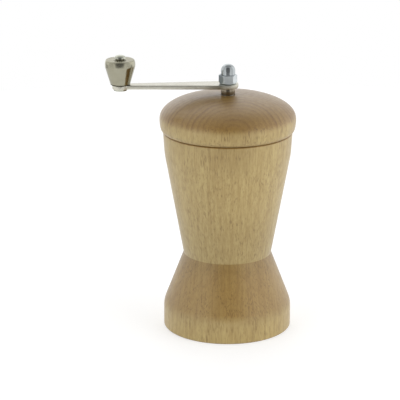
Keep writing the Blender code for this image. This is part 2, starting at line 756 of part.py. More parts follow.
def chamfer_outline(across_flats, bottom, top):
    """A turned blank, longer than the hexagon, whose cones trim the corners at both ends."""
    face = across_flats / 2
    widest = face / cos(pi / HEX_SIDES) + OVERRUN
    narrowest = face - OVERRUN
    drop = (widest - face) * tan(NUT_CHAMFER_ANGLE)
    rise = OVERRUN * tan(NUT_CHAMFER_ANGLE)
    return [
        (0, bottom - rise),
        (narrowest, bottom - rise),
        (widest, bottom + drop),
        (widest, top - drop),
        (narrowest, top + rise),
        (0, top + rise),
    ]


def make_cap_nut(parent):
    """The domed nut: a chamfered hexagon, a dome, and a blind bore for the shaft."""
    hex_top = NUT_BOTTOM + NUT_HEX_HEIGHT
    nut = extruded("cap_nut", hexagon(NUT_ACROSS_FLATS), NUT_BOTTOM, hex_top, "zinc", parent)
    blank = chamfer_outline(NUT_ACROSS_FLATS, NUT_BOTTOM, hex_top)
    combine(nut, turned("cap_nut_chamfer", blank), "INTERSECT")
    dome_centre = NUT_BOTTOM + NUT_HEIGHT - NUT_DOME_RADIUS
    dome = [(0, hex_top - OVERRUN), (NUT_DOME_RADIUS, hex_top - OVERRUN)]
    dome += arc((0, dome_centre), NUT_DOME_RADIUS, 0, pi / 2, 7)[:-1]
    dome += [(0, NUT_BOTTOM + NUT_HEIGHT)]
    combine(nut, turned("cap_nut_dome", dome), "UNION")
    bore_top = NUT_BOTTOM + NUT_THREAD_DEPTH
    bore = round_cutter("cap_nut_bore", SHAFT_HOLE_RADIUS, NUT_BOTTOM - OVERRUN, bore_top)
    combine(nut, bore, "DIFFERENCE")


def make_pin(parent):
    """The rivet that the knob turns on."""
    turned("knob_pin", pin_outline(), "nickel", parent=parent, location=(-ARM_LENGTH, 0, 0))


def prong_stations():
    """Centre, outward direction and width along a prong, from the disc round the bend to its tip."""
    middle = CLAW_BOTTOM + CLAW_THICKNESS / 2
    bend_centre = (CLAW_PRONG_RADIUS - CLAW_THICKNESS / 2 - CLAW_BEND_RADIUS, middle - CLAW_BEND_RADIUS)
    root = (CLAW_DISC_RADIUS - OVERRUN, middle)
    stations = [(root, pi / 2, CLAW_PRONG_WIDTH)]
    bend_steps = 4
    for step, point in enumerate(arc(bend_centre, CLAW_BEND_RADIUS, pi / 2, 0, bend_steps)):
        stations.append((point, pi / 2 * (1 - step / bend_steps), CLAW_PRONG_WIDTH))
    stations.append(((bend_centre[0] + CLAW_BEND_RADIUS, CLAW_TIP), 0, CLAW_TIP_WIDTH))
    return stations


def make_prong(index):
    """One bent prong, lofted through its stations and turned to its place round the axis."""
    shape = bmesh.new()
    loops = []
    for (radius, height), direction, width in prong_stations():
        half = CLAW_THICKNESS / 2
        outward = (half * cos(direction), half * sin(direction))
        loop = []
        for side, depth in ((-1, -1), (1, -1), (1, 1), (-1, 1)):
            place = (radius + depth * outward[0], side * width / 2, height + depth * outward[1])
            loop.append(shape.verts.new(place))
        loops.append(loop)
    shape.faces.new(loops[0])
    shape.faces.new(reversed(loops[-1]))
    for near, far in zip(loops, loops[1:]):
        for corner in range(len(near)):
            following = (corner + 1) % len(near)
            shape.faces.new((near[corner], near[following], far[following], far[corner]))
    turn = tau * index / CLAW_PRONG_COUNT
    bmesh.ops.rotate(shape, verts=shape.verts, matrix=Matrix.Rotation(turn, 3, "Z"))
    name = f"prong_{index + 1}"
    return new_object(name, finished_mesh(name, shape))


def make_claw(parent):
    """The claw plate: a disc with bent prongs that grip the nutmeg."""
    outline = ring_outline(SHAFT_HOLE_RADIUS, CLAW_DISC_RADIUS, CLAW_BOTTOM, CLAW_TOP)
    claw = turned("claw_plate", outline, "steel", parent=parent)
    for index in range(CLAW_PRONG_COUNT):
        combine(claw, make_prong(index), "UNION")


def make_claw_nut(parent):
    """The thin hexagon nut under the claw plate."""
    outline = hexagon(CLAW_NUT_ACROSS_FLATS)
    nut = extruded("claw_nut", outline, CLAW_NUT_BOTTOM, CLAW_NUT_TOP, "zinc", parent)
    blank = chamfer_outline(CLAW_NUT_ACROSS_FLATS, CLAW_NUT_BOTTOM, CLAW_NUT_TOP)
    combine(nut, turned("claw_nut_chamfer", blank), "INTERSECT")
    bottom = CLAW_NUT_BOTTOM - OVERRUN
    top = CLAW_NUT_TOP + OVERRUN
    combine(nut, round_cutter("claw_nut_bore", SHAFT_HOLE_RADIUS, bottom, top), "DIFFERENCE")


def make_knob(parent):
    """The flared knob, with its origin on its own axis."""
    turned("crank_knob", knob_outline(), "nickel", parent=parent, location=(-ARM_LENGTH, 0, 0))


def axis_empty(name):
    """An empty on the mill's axis that carries what slides or turns there."""
    empty = bpy.data.objects.new(name, None)
    bpy.context.scene.collection.objects.link(empty)
    return empty


def build():
    """Model the whole mill."""
    clear_scene()
    make_body()
    make_blade_plate()
    make_blade()
    make_rivets()
    make_base_screws()
    make_lid()
    make_bush()
    make_bearing_plate()
    make_lid_screws()
    make_spring()
    press_axis = axis_empty("press_axis")
    crank_axis = axis_empty("crank_axis")
    crank_axis.parent = press_axis
    make_thrust_washer(press_axis)
    make_shaft(crank_axis)
    make_sleeve(crank_axis)
    make_arm(crank_axis)
    make_cap_nut(crank_axis)
    make_pin(crank_axis)
    make_claw(crank_axis)
    make_claw_nut(crank_axis)
    make_knob(crank_axis)


build()
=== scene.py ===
"""Looks of the hand-cranked nutmeg grinder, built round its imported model.

Units are metres and radians. The frame is the model's own: +Z up, the origin on the mill's axis
at its foot, and the crank arm along -X at rest.
"""
from math import acos, asin, atan2, cos, pi, radians, sin, sqrt, tan, tau

import bmesh
import bpy
from mathutils import Matrix, Vector


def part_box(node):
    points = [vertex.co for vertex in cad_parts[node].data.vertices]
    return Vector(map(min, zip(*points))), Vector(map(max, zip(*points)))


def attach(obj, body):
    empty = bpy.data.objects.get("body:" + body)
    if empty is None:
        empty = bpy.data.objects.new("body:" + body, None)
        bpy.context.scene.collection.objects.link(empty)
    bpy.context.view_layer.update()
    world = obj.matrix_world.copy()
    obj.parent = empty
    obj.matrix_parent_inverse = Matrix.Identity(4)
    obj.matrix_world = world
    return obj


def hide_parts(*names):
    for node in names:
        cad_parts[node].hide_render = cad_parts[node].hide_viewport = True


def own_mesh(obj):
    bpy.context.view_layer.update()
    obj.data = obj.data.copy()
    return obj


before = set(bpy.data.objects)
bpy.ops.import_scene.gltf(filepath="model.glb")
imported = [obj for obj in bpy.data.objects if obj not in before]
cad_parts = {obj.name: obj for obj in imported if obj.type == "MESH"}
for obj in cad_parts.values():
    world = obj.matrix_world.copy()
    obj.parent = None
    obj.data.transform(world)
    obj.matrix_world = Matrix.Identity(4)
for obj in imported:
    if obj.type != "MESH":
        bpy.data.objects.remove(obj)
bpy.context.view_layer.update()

MM = 0.001

# Camera, as the photograph was taken
PHOTO_SIDE_PIXELS = 400
FOCAL_PIXELS = 2200
SENSOR_WIDTH = 36
CAMERA_CLIP = (0.1, 20)
CAMERA_DISTANCE = 1.0506
CAMERA_HEIGHT = 0.388
CAMERA_SIDE = 0.0002
CAMERA_PITCH = radians(17.09)
CAMERA_YAW = radians(0.76)
ARM_TURN = radians(3.9)

# Wooden body
body_low, body_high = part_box("wooden_body")
BODY_HEIGHT = body_high[2]
BASE_RADIUS = 0.0319
BASE_EDGE_RADIUS = 0.0009
SHOULDER_HEIGHT = 0.0124
SHOULDER_RADIUS = 0.013
WAIST_RADIUS = 0.0219
WAIST_HEIGHT = 0.0384
WAIST_CREASE = 0.0003
FLARE_RADIUS = 0.0313
FLARE_DROP = 0.0114
FLARE_ROUNDING = 0.036
BODY_TOP_RADIUS = 0.0321
BODY_TOP_EDGE = 0.0007
CHAMBER_RADIUS = 0.017
MOUTH_RADIUS = 0.022
MOUTH_DEPTH = 0.010
FOOT_RADIUS = 0.026
FOOT_FLARE = 0.0008
FOOT_DEPTH = 0.012
WOOD_EDGE = 0.0003

# Wooden lid
lid_low, lid_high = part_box("wooden_lid")
LID_GAP = 0.0003
LID_BOTTOM = BODY_HEIGHT + LID_GAP
LID_TOP = lid_high[2]
LID_BULGE_RADIUS = 0.03375
LID_RIM_RADIUS = 0.0325
LID_RIM_EDGE = 0.0004
LID_BULGE_HEIGHT = 0.006
LID_ROUNDNESS = 2.175
SPIGOT_RADIUS = MOUTH_RADIUS - LID_GAP

# Facets
WOOD_SEGMENTS = 160
METAL_SEGMENTS = 64
SMALL_SEGMENTS = 32
HEX_SIDES = 6
EDGE_STEPS = 4
SMALL_EDGE_STEPS = 3
BLADE_EDGE_STEPS = 5
BODY_EDGE_STEPS = 6
DOME_STEPS = 44
SWELL_STEPS = 10
SHARP_ANGLE = radians(32)
LONGEST_RUN = 0.0025
ROUNDING_UP = 0.49
MERGE_DISTANCE = 0.0000005


# Shader graphs

EVEN = (1, 1, 1)
BUMP_STRENGTH = 0.5


class Shader:
    """The node graph of a material or of the world, built from short calls."""

    def __init__(self, owner, surface="Principled BSDF"):
        owner.use_nodes = True
        self.owner = owner
        self.tree = owner.node_tree
        self.surface = self.tree.nodes[surface]

    def node(self, kind, inputs=None, **settings):
        """A node with its settings, and its inputs linked or set."""
        made = self.tree.nodes.new(kind)
        for key, value in settings.items():
            setattr(made, key, value)
        for key, value in (inputs or {}).items():
            self.put(value, made.inputs[key])
        return made

    def put(self, value, socket):
        """Link a socket to another, or set its value."""
        if isinstance(value, bpy.types.NodeSocket):
            self.tree.links.new(value, socket)
        else:
            socket.default_value = value

    def math(self, operation, first, second=0.0):
        """One sum on numbers."""
        made = self.node("ShaderNodeMath", {0: first, 1: second}, operation=operation)
        return made.outputs[0]

    def times(self, first, second):
        """The product of two numbers."""
        return self.math("MULTIPLY", first, second)

    def plus(self, first, second):
        """The sum of two numbers."""
        return self.math("ADD", first, second)

    def minus(self, first, second):
        """The difference of two numbers."""
        return self.math("SUBTRACT", first, second)

    def vector(self, operation, first, second=(0.0, 0.0, 0.0)):
        """One sum on vectors."""
        made = self.node("ShaderNodeVectorMath", {0: first, 1: second}, operation=operation)
        return made.outputs["Value" if operation in ("LENGTH", "DOT_PRODUCT") else 0]

    def split(self, vector):
        """The three numbers of a vector."""
        return self.node("ShaderNodeSeparateXYZ", {0: vector}).outputs

    def join(self, *parts):
        """A vector from its numbers, with 0 for a number that isn't given."""
        return self.node("ShaderNodeCombineXYZ", dict(enumerate(parts))).outputs[0]

    def geometry(self, value):
        """One of the surface's own values, by its name."""
        return self.node("ShaderNodeNewGeometry").outputs[value]

    def ray(self, kind):
        """1 for rays of a kind, else 0."""
        return self.node("ShaderNodeLightPath").outputs[f"Is {kind} Ray"]

    def seen(self):
        """1 for what the camera sees, straight or through glass, else 0."""
        return self.math("MAXIMUM", self.ray("Camera"), self.ray("Transmission"))

    def place(self, stretch, offset=(0.0, 0.0, 0.0)):
        """The piece's own coordinates in millimetres, moved and then stretched."""
        coordinates = self.node("ShaderNodeTexCoord").outputs["Object"]
        scaled = self.vector("MULTIPLY", coordinates, (1 / MM, 1 / MM, 1 / MM))
        moved = self.vector("ADD", scaled, offset)
        return self.vector("MULTIPLY", moved, stretch)

    def distance(self, middle):
        """The distance from a point, in millimetres."""
        return self.vector("LENGTH", self.place(EVEN, tuple(-part for part in middle)))

    def noise(self, vector, detail, roughness):
        """Noise as a number from about 0 to 1."""
        inputs = {"Vector": vector, "Scale": 1.0, "Detail": detail, "Roughness": roughness}
        return self.node("ShaderNodeTexNoise", inputs).outputs[0]

    def span(self, value, low, high, to_low=0.0, to_high=1.0):
        """A smooth step of a value from one range to another."""
        inputs = {"Value": value, "From Min": low, "From Max": high}
        inputs.update({"To Min": to_low, "To Max": to_high})
        return self.node("ShaderNodeMapRange", inputs, interpolation_type="SMOOTHSTEP").outputs[0]

    def mix(self, factor, first, second, blend="MIX"):
        """Mix two colours."""
        inputs = {0: factor, 6: first, 7: second}
        return self.node("ShaderNodeMix", inputs, data_type="RGBA", blend_type=blend).outputs[2]

    def bump(self, height, distance):
        """A bump of the given real height."""
        inputs = {"Height": height, "Distance": distance, "Strength": BUMP_STRENGTH}
        return self.node("ShaderNodeBump", inputs).outputs[0]

    def finish(self, **sockets):
        """Set the surface's sockets, named with underscores, and give the material."""
        for key, value in sockets.items():
            self.put(value, self.surface.inputs[key.replace("_", " ")])
        return self.owner


# Wood

BEECH_PALE = (0.434, 0.332, 0.133, 1)
BEECH_DEEP = (0.368, 0.270, 0.097, 1)

# Layers of the wood: the share of each, and what a full share multiplies the colour by
LAYERS = {
    # heart: painted shade, a darker patch at the front of the body and the lid
    "heart": (0.7, (0.80, 0.76, 0.70, 1)),
    # foot: painted light, the foot lighter
    "foot": (1.0, (1.15, 1.16, 1.18, 1)),
    # waist: painted shade, darker round the waist
    "waist": (1.0, (0.925, 0.93, 0.925, 1)),
    # cone: painted light, a lighter cone below the waist
    "cone": (1.0, (1.095, 1.10, 1.08, 1)),
    "broad": (0.45, (0.86, 0.81, 0.74, 1)),
    "mottle": (0.50, (0.84, 0.79, 0.72, 1)),
    # end: darker end grain, with painted shade making upward faces darker than downward ones
    "end": (1.0, (0.59, 0.44, 0.20, 1)),
    "rings": (1.0, (0.74, 0.65, 0.54, 1)),
    "pores": (0.5, (0.80, 0.75, 0.68, 1)),
    "stripes": (0.5, (0.74, 0.66, 0.54, 1)),
    "rays": (0.5, (0.56, 0.47, 0.37, 1)),
    "dashes": (0.9, (0.50, 0.41, 0.31, 1)),
}

# Heights between which the foot is lighter, painted light, and bands above and below the waist,
# painted shade above it and painted light below it, in millimetres
FOOT_LIGHT_STEP = (3, 16, 1.0, 0.0)
WAIST_SHADE_BAND = (30, 39, 44, 76)
CONE_LIGHT_BAND = (11, 15, 23, 37)

# Noise along the grain: its pace across and along it, its detail and its roughness
FIBRES = (1.25, 0.06, 4, 0.6)
BROAD = (0.12, 0.008, 3, 0.5)
PORES = (5.5, 0.5, 2, 0.6)
DASHES = (1.9, 0.26, 1, 0.5)
DRIFTS = (0.16, 0.05, 2, 0.6)
RING_SWAY = (0.030, 0.008, 2, 0.5)
RING_UNEVEN = (0.08, 0.010, 2, 0.5)
MOTTLE_PACE = (0.55, 0.55, 0.30)
SEED_SPREAD = (1.0, 1.7, 2.3)
SWAY_WIDTH = 9.0

# Pace round the pith, up and out of the rays, and round, out and up of the stripes
RAY_PACE = (105.0, 1 / 2.4, 0.07)
STRIPE_PACE = (68.0, 0.05, 0.06)

# Detail and roughness of noise
MOTTLE_GRAIN = (3, 0.6)
STRIPE_GRAIN = (2, 0.6)
MARK_GRAIN = (4, 0.65)
PATCH_GRAIN = (4, 0.6)
FINE_GRAIN = (3, 0.5)

# Smooth steps: from and to, and the values there where they aren't 0 and 1
FIBRE_STEP = (0.30, 0.70)
BROAD_STEP = (0.38, 0.68)
MOTTLE_STEP = (0.40, 0.70)
PORE_STEP = (0.57, 0.72)
DASH_STEP = (0.54, 0.67)
DRIFT_STEP = (0.36, 0.62, 0.25, 1.0)
RAY_SHAPE_STEP = (0.08, 0.36, 1.0, 0.0)
RAY_PICK_STEP = (0.30, 0.90)
STRIPE_STEP = (0.40, 0.68)
RING_RISE_STEP = (0.25, 0.88)
RING_STOP_STEP = (0.88, 1.0, 1.0, 0.0)
RING_STRENGTH_STEP = (0.1, 0.9, 0.25, 1.0)
RING_UPWARD_STEP = (0.0, 0.4, 0.45, 1.0)
# End grain on upward and downward faces; the greater share on upward faces is painted shade
ABOVE_STEP = (-0.12, 0.56, 0.0, 0.88)
BELOW_STEP = (-0.75, -0.35, 0.8, 0.0)
SIDE_STEP = (0.30, 0.85, 1.0, 0.05)
ROUGHNESS_STEP = (0.3, 0.75, 0.40, 0.52)

# Shares of its reach between which the patch of painted shade at the front fades
PATCH_REACH = (0.35, 1.1)

END_UNEVENNESS = 0.30
FIBRE_RELIEF = 0.6
DASH_RELIEF = 0.5
GRAIN_HEIGHT = 0.00005
WOOD_SPECULAR = 0.5
WOOD_COAT = 0.8
WOOD_COAT_ROUGHNESS = 0.45


class Timber(Shader):
    """A beech material's node graph and the fields it is mixed from, all in millimetres."""

    def __init__(self, name, pith, ring_width, seed):
        super().__init__(bpy.data.materials.new(name))
        self.ring_width = ring_width
        self.shift = tuple(seed * spread for spread in SEED_SPREAD)
        split = self.split(self.place(EVEN, (-pith[0] / MM, -pith[1] / MM, 0)))
        self.height = split[2]
        self.radius = self.vector("LENGTH", self.join(split[0], split[1]))
        self.angle = self.math("ARCTAN2", split[1], split[0])

    def streaks(self, across, along, detail, roughness):
        """Noise drawn out along the grain."""
        return self.noise(self.place((across, across, along), self.shift), detail, roughness)

    def paced(self, fields, paces):
        """A place in a texture, from three fields and how fast each runs there."""
        return self.join(*map(self.times, fields, paces))

    def rings(self):
        """Growth rings: each darkens slowly outward and ends at once."""
        swayed = self.plus(self.radius, self.times(self.streaks(*RING_SWAY), SWAY_WIDTH))
        turns = self.math("DIVIDE", swayed, self.ring_width)
        count = self.plus(turns, self.streaks(*RING_UNEVEN))
        share = self.math("FRACT", count)
        ring = self.times(self.span(share, *RING_RISE_STEP), self.span(share, *RING_STOP_STEP))
        place = self.join(self.math("FLOOR", count), self.shift[0])
        strength = self.node("ShaderNodeTexWhiteNoise", {"Vector": place}).outputs["Value"]
        return self.times(ring, self.span(strength, *RING_STRENGTH_STEP))

    def rays(self):
        """Ray flecks: lens-shaped, thin round the pith, short upward, long towards the pith."""
        place = self.paced((self.angle, self.height, self.radius), RAY_PACE)
        cells = self.node("ShaderNodeTexVoronoi", {"Vector": place, "Scale": 1.0}).outputs
        pick = self.node("ShaderNodeSeparateColor", {0: cells["Color"]}).outputs[0]
        shape = self.span(cells["Distance"], *RAY_SHAPE_STEP)
        return self.times(shape, self.span(pick, *RAY_PICK_STEP))

    def stripes(self):
        """Long upright stripes, where the rays' planes meet the surface."""
        place = self.paced((self.angle, self.radius, self.height), STRIPE_PACE)
        return self.span(self.noise(place, *STRIPE_GRAIN), *STRIPE_STEP)

    def dashes(self):
        """Short dark dashes along the grain, in drifts."""
        marks = self.span(self.streaks(*DASHES), *DASH_STEP)
        return self.times(marks, self.span(self.streaks(*DRIFTS), *DRIFT_STEP))

    def band(self, start, full, fading, end):
        """A level band of the piece, eased at both ends."""
        rise = self.span(self.height, start, full)
        return self.times(rise, self.span(self.height, fading, end, 1.0, 0.0))

    def patch(self, middle, reach, broad):
        """A patch with a ragged edge."""
        ragged = self.times(self.minus(broad, 0.5), reach)
        near, far = (reach * share for share in PATCH_REACH)
        return self.span(self.plus(self.distance(middle), ragged), near, far, 1.0, 0.0)


def beech(name, pith, ring_width, seed, heart, shares):
    """Satin beech with upright grain: rings round a pith, fibres, pores, dashes and ray flecks.

    The front shade is the middle and the reach of a darker patch, painted shade at the front. The
    foot, waist and cone layers are painted light and shade, and the end layer is end grain with
    painted shade on upward faces. The shares stand in for those of the layers that they name.
    """
    wood = Timber(name, pith, ring_width, seed)
    fibre = wood.streaks(*FIBRES)
    broad = wood.streaks(*BROAD)
    dashes = wood.dashes()
    mottle = wood.noise(wood.place(MOTTLE_PACE, wood.shift), *MOTTLE_GRAIN)
    upward = wood.split(wood.geometry("Normal"))[2]
    uneven = wood.times(wood.minus(fibre, 0.5), END_UNEVENNESS)
    above = wood.span(wood.plus(upward, uneven), *ABOVE_STEP)
    side = wood.span(wood.math("ABSOLUTE", upward), *SIDE_STEP)
    masks = {
        # Painted shade: a darker patch at the front
        "heart": wood.patch(*heart, broad),
        # Painted light on the foot, painted shade round the waist and painted light on the cone
        "foot": wood.span(wood.height, *FOOT_LIGHT_STEP),
        "waist": wood.band(*WAIST_SHADE_BAND),
        "cone": wood.band(*CONE_LIGHT_BAND),
        "broad": wood.span(broad, *BROAD_STEP),
        "mottle": wood.span(mottle, *MOTTLE_STEP),
        # Darker end grain, with painted shade on upward faces
        "end": wood.math("MAXIMUM", above, wood.span(upward, *BELOW_STEP)),
        "rings": wood.times(wood.rings(), wood.span(upward, *RING_UPWARD_STEP)),
        "pores": wood.span(wood.streaks(*PORES), *PORE_STEP),
        "stripes": wood.stripes(),
        "rays": wood.times(wood.rays(), side),
        "dashes": wood.times(dashes, side),
    }
    colour = wood.mix(wood.span(fibre, *FIBRE_STEP), BEECH_DEEP, BEECH_PALE)
    for layer, mask in masks.items():
        share, tone = LAYERS[layer]
        colour = wood.mix(wood.times(mask, shares.get(layer, share)), colour, tone, "MULTIPLY")
    relief = wood.minus(wood.times(fibre, FIBRE_RELIEF), wood.times(dashes, DASH_RELIEF))
    return wood.finish(
        Base_Color=colour,
        Roughness=wood.span(mottle, *ROUGHNESS_STEP),
        Normal=wood.bump(relief, GRAIN_HEIGHT),
        Specular_IOR_Level=WOOD_SPECULAR,
        Coat_Weight=WOOD_COAT,
        Coat_Roughness=WOOD_COAT_ROUGHNESS,
    )


# Metal

PATCH_PACE = (0.22, 0.22, 0.22)
PATCH_SHIFT = (3.1, 7.7, 1.3)
PATCH_STEP = (0.42, 0.72)
PATCH_SHARE = 0.45
FINE_PACE = (2.6, 2.6, 2.6)
FINE_STEP = (0.5, 0.8)
FINE_SHARE = 0.12
WEAR_STEP = (0.52, 0.60)
WEAR_SHARE = 0.6
WORN_GAIN = 1.18
MARKS_IN_GLOSS = 0.6
GLOSS_STEP = (0.35, 0.68)
# Painted shade round the arm's hub, under the nut
HUB_SHADE_TONE = (0.50, 0.48, 0.42, 1)
HUB_SHADE_MIDDLE_SHARE = 0.25
# Painted shade: a dark reflection on the nut's left face
SPOT_SHADE_TONE = (0.40, 0.42, 0.44, 1)


def metal(name, colours, rough, pace, depth, dull_and_lit=None, hub_shade=None, shade_spot=None):
    """Plated or plain steel with fine tool marks, dull patches and worn edges.

    The colours are the metal's own and its stains'. The pace of the marks is along X, Y and Z. A
    dull part is given as where it is measured, the smooth step of its share, and what it adds to
    the roughness and multiplies the colour by, a gain that is painted light. A hub shade is three
    distances from the mill's axis for painted shade round the arm's hub, and a shade spot the
    middle of a spot of painted shade and the distances between which it fades, all in millimetres.
    """
    shader = Shader(bpy.data.materials.new(name))
    colour, stain = colours
    marks = shader.noise(shader.place(pace), *MARK_GRAIN)
    patches = shader.noise(shader.place(PATCH_PACE, PATCH_SHIFT), *PATCH_GRAIN)
    fine = shader.noise(shader.place(FINE_PACE), *FINE_GRAIN)
    wear = shader.span(shader.geometry("Pointiness"), *WEAR_STEP)
    worn = tuple(min(1.0, channel * WORN_GAIN) for channel in colour[:3]) + (1,)
    layers = (
        (shader.span(patches, *PATCH_STEP), PATCH_SHARE, stain),
        (shader.span(fine, *FINE_STEP), FINE_SHARE, stain),
        (wear, WEAR_SHARE, worn),
    )
    tone = colour
    for mask, share, other in layers:
        tone = shader.mix(shader.times(mask, share), tone, other)
    even = shader.times(patches, 1 - MARKS_IN_GLOSS)
    mixed = shader.plus(shader.times(marks, MARKS_IN_GLOSS), even)
    gloss = shader.span(mixed, *GLOSS_STEP, *rough)
    # A dull part is rougher, and its colour is multiplied by a gain that is painted light
    if dull_and_lit:
        field, step, roughening, shade = dull_and_lit
        vector = shader.place(EVEN) if field == "height" else shader.geometry("True Normal")
        share = shader.span(shader.split(vector)[2], *step)
        gloss = shader.plus(gloss, shader.times(share, roughening))
        tone = shader.mix(share, tone, (shade, shade, shade, 1), "MULTIPLY")
        # Painted shade on the arm's sides round the hub
        if hub_shade:
            inner, full, outer = hub_shade
            distance = shader.vector("LENGTH", shader.place((1, 1, 0)))
            near = shader.span(distance, inner, full, HUB_SHADE_MIDDLE_SHARE, 1.0)
            near = shader.times(near, shader.span(distance, full, outer, 1.0, 0.0))
            tone = shader.mix(shader.times(near, share), tone, HUB_SHADE_TONE, "MULTIPLY")
    # Painted shade spot, a dark reflection, on the nut's left face
    if shade_spot:
        middle, inner, outer = shade_spot
        near = shader.span(shader.distance(middle), inner, outer, 1.0, 0.0)
        tone = shader.mix(near, tone, SPOT_SHADE_TONE, "MULTIPLY")
    return shader.finish(
        Base_Color=tone, Metallic=1.0, Roughness=gloss, Normal=shader.bump(marks, depth)
    )


# The colours of each metal and of its stains
KNOB_NICKEL = (0.395, 0.380, 0.290, 1), (0.340, 0.320, 0.235, 1)
ARM_NICKEL = (0.570, 0.556, 0.484, 1), (0.530, 0.505, 0.425, 1)
ZINC = (0.460, 0.492, 0.500, 1), (0.360, 0.390, 0.405, 1)
RIVET_STEEL = (0.500, 0.510, 0.430, 1), (0.400, 0.400, 0.330, 1)
SLEEVE_STEEL = (0.290, 0.250, 0.185, 1), (0.210, 0.175, 0.130, 1)
STEEL = (0.560, 0.560, 0.545, 1), (0.420, 0.410, 0.390, 1)
# Painted shade: the rivet's shank, dark under the knob's head
SHANK_SHADE = (0.370, 0.355, 0.260, 1), (0.230, 0.215, 0.150, 1)
# Painted shade: the dark band at the knob's foot, in the gap over the arm
GAP_SHADE = (0.090, 0.082, 0.058, 1), (0.050, 0.046, 0.032, 1)
SPRING_STEEL = (0.360, 0.355, 0.345, 1), (0.220, 0.200, 0.180, 1)

# Dull parts, rougher and with their colour lifted as painted light: the top of the knob, the
# sheared sides of the arm, the flats of the nut
KNOB_TOP_DULL_AND_LIT = ("upward", (0.55, 0.95, 0.0, 1.0), 0.22, 1.03)
ARM_SIDE_DULL_AND_LIT = ("upward", (0.10, 0.60, 1.0, 0.0), 0.20, 1.32)
NUT_FLAT_DULL_AND_LIT = ("height", (129.4, 129.8, 1.0, 0.0), 0.22, 1.33)
# Distances from the axis of the painted shade round the arm's hub
ARM_HUB = (5.0, 6.6, 14.0)
# Middle and fade of the painted shade spot, a dark reflection, on the nut's left face
NUT_SHADE_SPOT = ((-4.0, -1.5, 127.6), 2.1, 3.3)

# Colours, least and most roughness, pace and depth of the tool marks, and then the dull part with
# its painted light, the painted hub shade and the painted shade spot
METALS = {
    "knob_nickel": (KNOB_NICKEL, (0.16, 0.25), (0.3, 0.3, 9.0), 0.000004, KNOB_TOP_DULL_AND_LIT),
    "arm_nickel": (ARM_NICKEL, (0.22, 0.38), (0.25, 8.0, 8.0), 0.000004, ARM_SIDE_DULL_AND_LIT, ARM_HUB),
    "zinc": (ZINC, (0.08, 0.15), (1.6, 1.6, 1.6), 0.000006, NUT_FLAT_DULL_AND_LIT, None, NUT_SHADE_SPOT),
    "shank_shade": (SHANK_SHADE, (0.3, 0.5), (2.0, 2.0, 2.0), 0.000004),
    "gap_shade": (GAP_SHADE, (0.35, 0.55), (2.0, 2.0, 2.0), 0.000006),
    "rivet_steel": (RIVET_STEEL, (0.10, 0.18), (2.0, 2.0, 2.0), 0.000004),
    "sleeve_steel": (SLEEVE_STEEL, (0.12, 0.20), (0.3, 0.3, 9.0), 0.000003),
    "steel": (STEEL, (0.20, 0.38), (0.3, 7.0, 7.0), 0.000005),
    "turned_steel": (STEEL, (0.16, 0.32), (0.2, 0.2, 8.0), 0.000005),
    "spring_steel": (SPRING_STEEL, (0.25, 0.42), (2.0, 2.0, 2.0), 0.000004),
}

# Pith in metres, ring width in millimetres, seed, the patch of painted shade at the front, and
# the shares of layers that differ
WOODS = {
    "body_wood": (
        (0.004, 0.048), 2.7, 11.0, ((0, -33, 97), 15), {"rings": 0.22, "dashes": 0.60}
    ),
    "lid_wood": ((0.0010, -0.0368), 3.0, 37.0, ((3, -35, 110), 16), {"stripes": 0.0}),
}

MATERIALS = {name: beech(name, *look) for name, look in WOODS.items()}
MATERIALS.update({name: metal(name, *look) for name, look in METALS.items()})


# Outlines


def arc(centre, radius, start, end, steps):
    """Points on an arc round a centre, both ends included."""
    points = []
    for step in range(steps + 1):
        angle = start + (end - start) * step / steps
        points.append((centre[0] + radius * cos(angle), centre[1] + radius * sin(angle)))
    return points


def full_round(roundness, steps):
    """Shares across and up of a quarter curve, fuller than a circle where roundness passes 2."""
    power = 2 / roundness
    quarter = arc((0, 0), 1, 0, pi / 2, steps)
    return [(max(x, 0.0) ** power, max(y, 0.0) ** power) for x, y in quarter]


def dome(radius, seat, top, steps, roundness=2):
    """Radius and height of a domed head, from its rim at the seat to its top on the axis."""
    shares = full_round(roundness, steps)[:-1]
    return [(radius * across, seat + (top - seat) * up) for across, up in shares] + [(0, top)]


def box_corners(left, right, bottom, top, edge, left_edge=0):
    """Corners of an upright box with the rounding of each."""
    return [
        (left, bottom, left_edge),
        (right, bottom, edge),
        (right, top, edge),
        (left, top, left_edge),
    ]


def rounded_corner(before, corner, after, radius, steps):
    """Points of the arc that rounds the corner between two straight runs."""
    corner = Vector(corner)
    back = (Vector(before) - corner).normalized()
    ahead = (Vector(after) - corner).normalized()
    half_angle = acos(max(-1.0, min(1.0, back.dot(ahead)))) / 2
    centre = corner + (back + ahead).normalized() * (radius / sin(half_angle))
    reach = radius / tan(half_angle)
    first = corner + back * reach - centre
    last = corner + ahead * reach - centre
    spokes = [first.lerp(last, step / steps).normalized() for step in range(steps + 1)]
    return [tuple(centre + spoke * radius) for spoke in spokes]


def softened(corners, closed=True, steps=EDGE_STEPS):
    """An outline from corners given as across, up and rounding."""
    points = []
    last = len(corners) - 1
    for index, (across, up, rounding) in enumerate(corners):
        if rounding == 0 or (not closed and index in (0, last)):
            points.append((across, up))
            continue
        before, after = corners[index - 1][:2], corners[(index + 1) % len(corners)][:2]
        points += rounded_corner(before, (across, up), after, rounding, steps)
    return points


def finer(outline):
    """The closed outline with long runs divided, so that they shade evenly."""
    points = []
    for first, second in zip(map(Vector, outline), map(Vector, outline[1:] + outline[:1])):
        count = max(1, round((second - first).length / LONGEST_RUN + ROUNDING_UP))
        points += [tuple(first.lerp(second, step / count)) for step in range(count)]
    return points


# Solids


def add_object(name, mesh):
    """Put a mesh in the scene."""
    made = bpy.data.objects.new(name, mesh)
    bpy.context.scene.collection.objects.link(made)
    return made


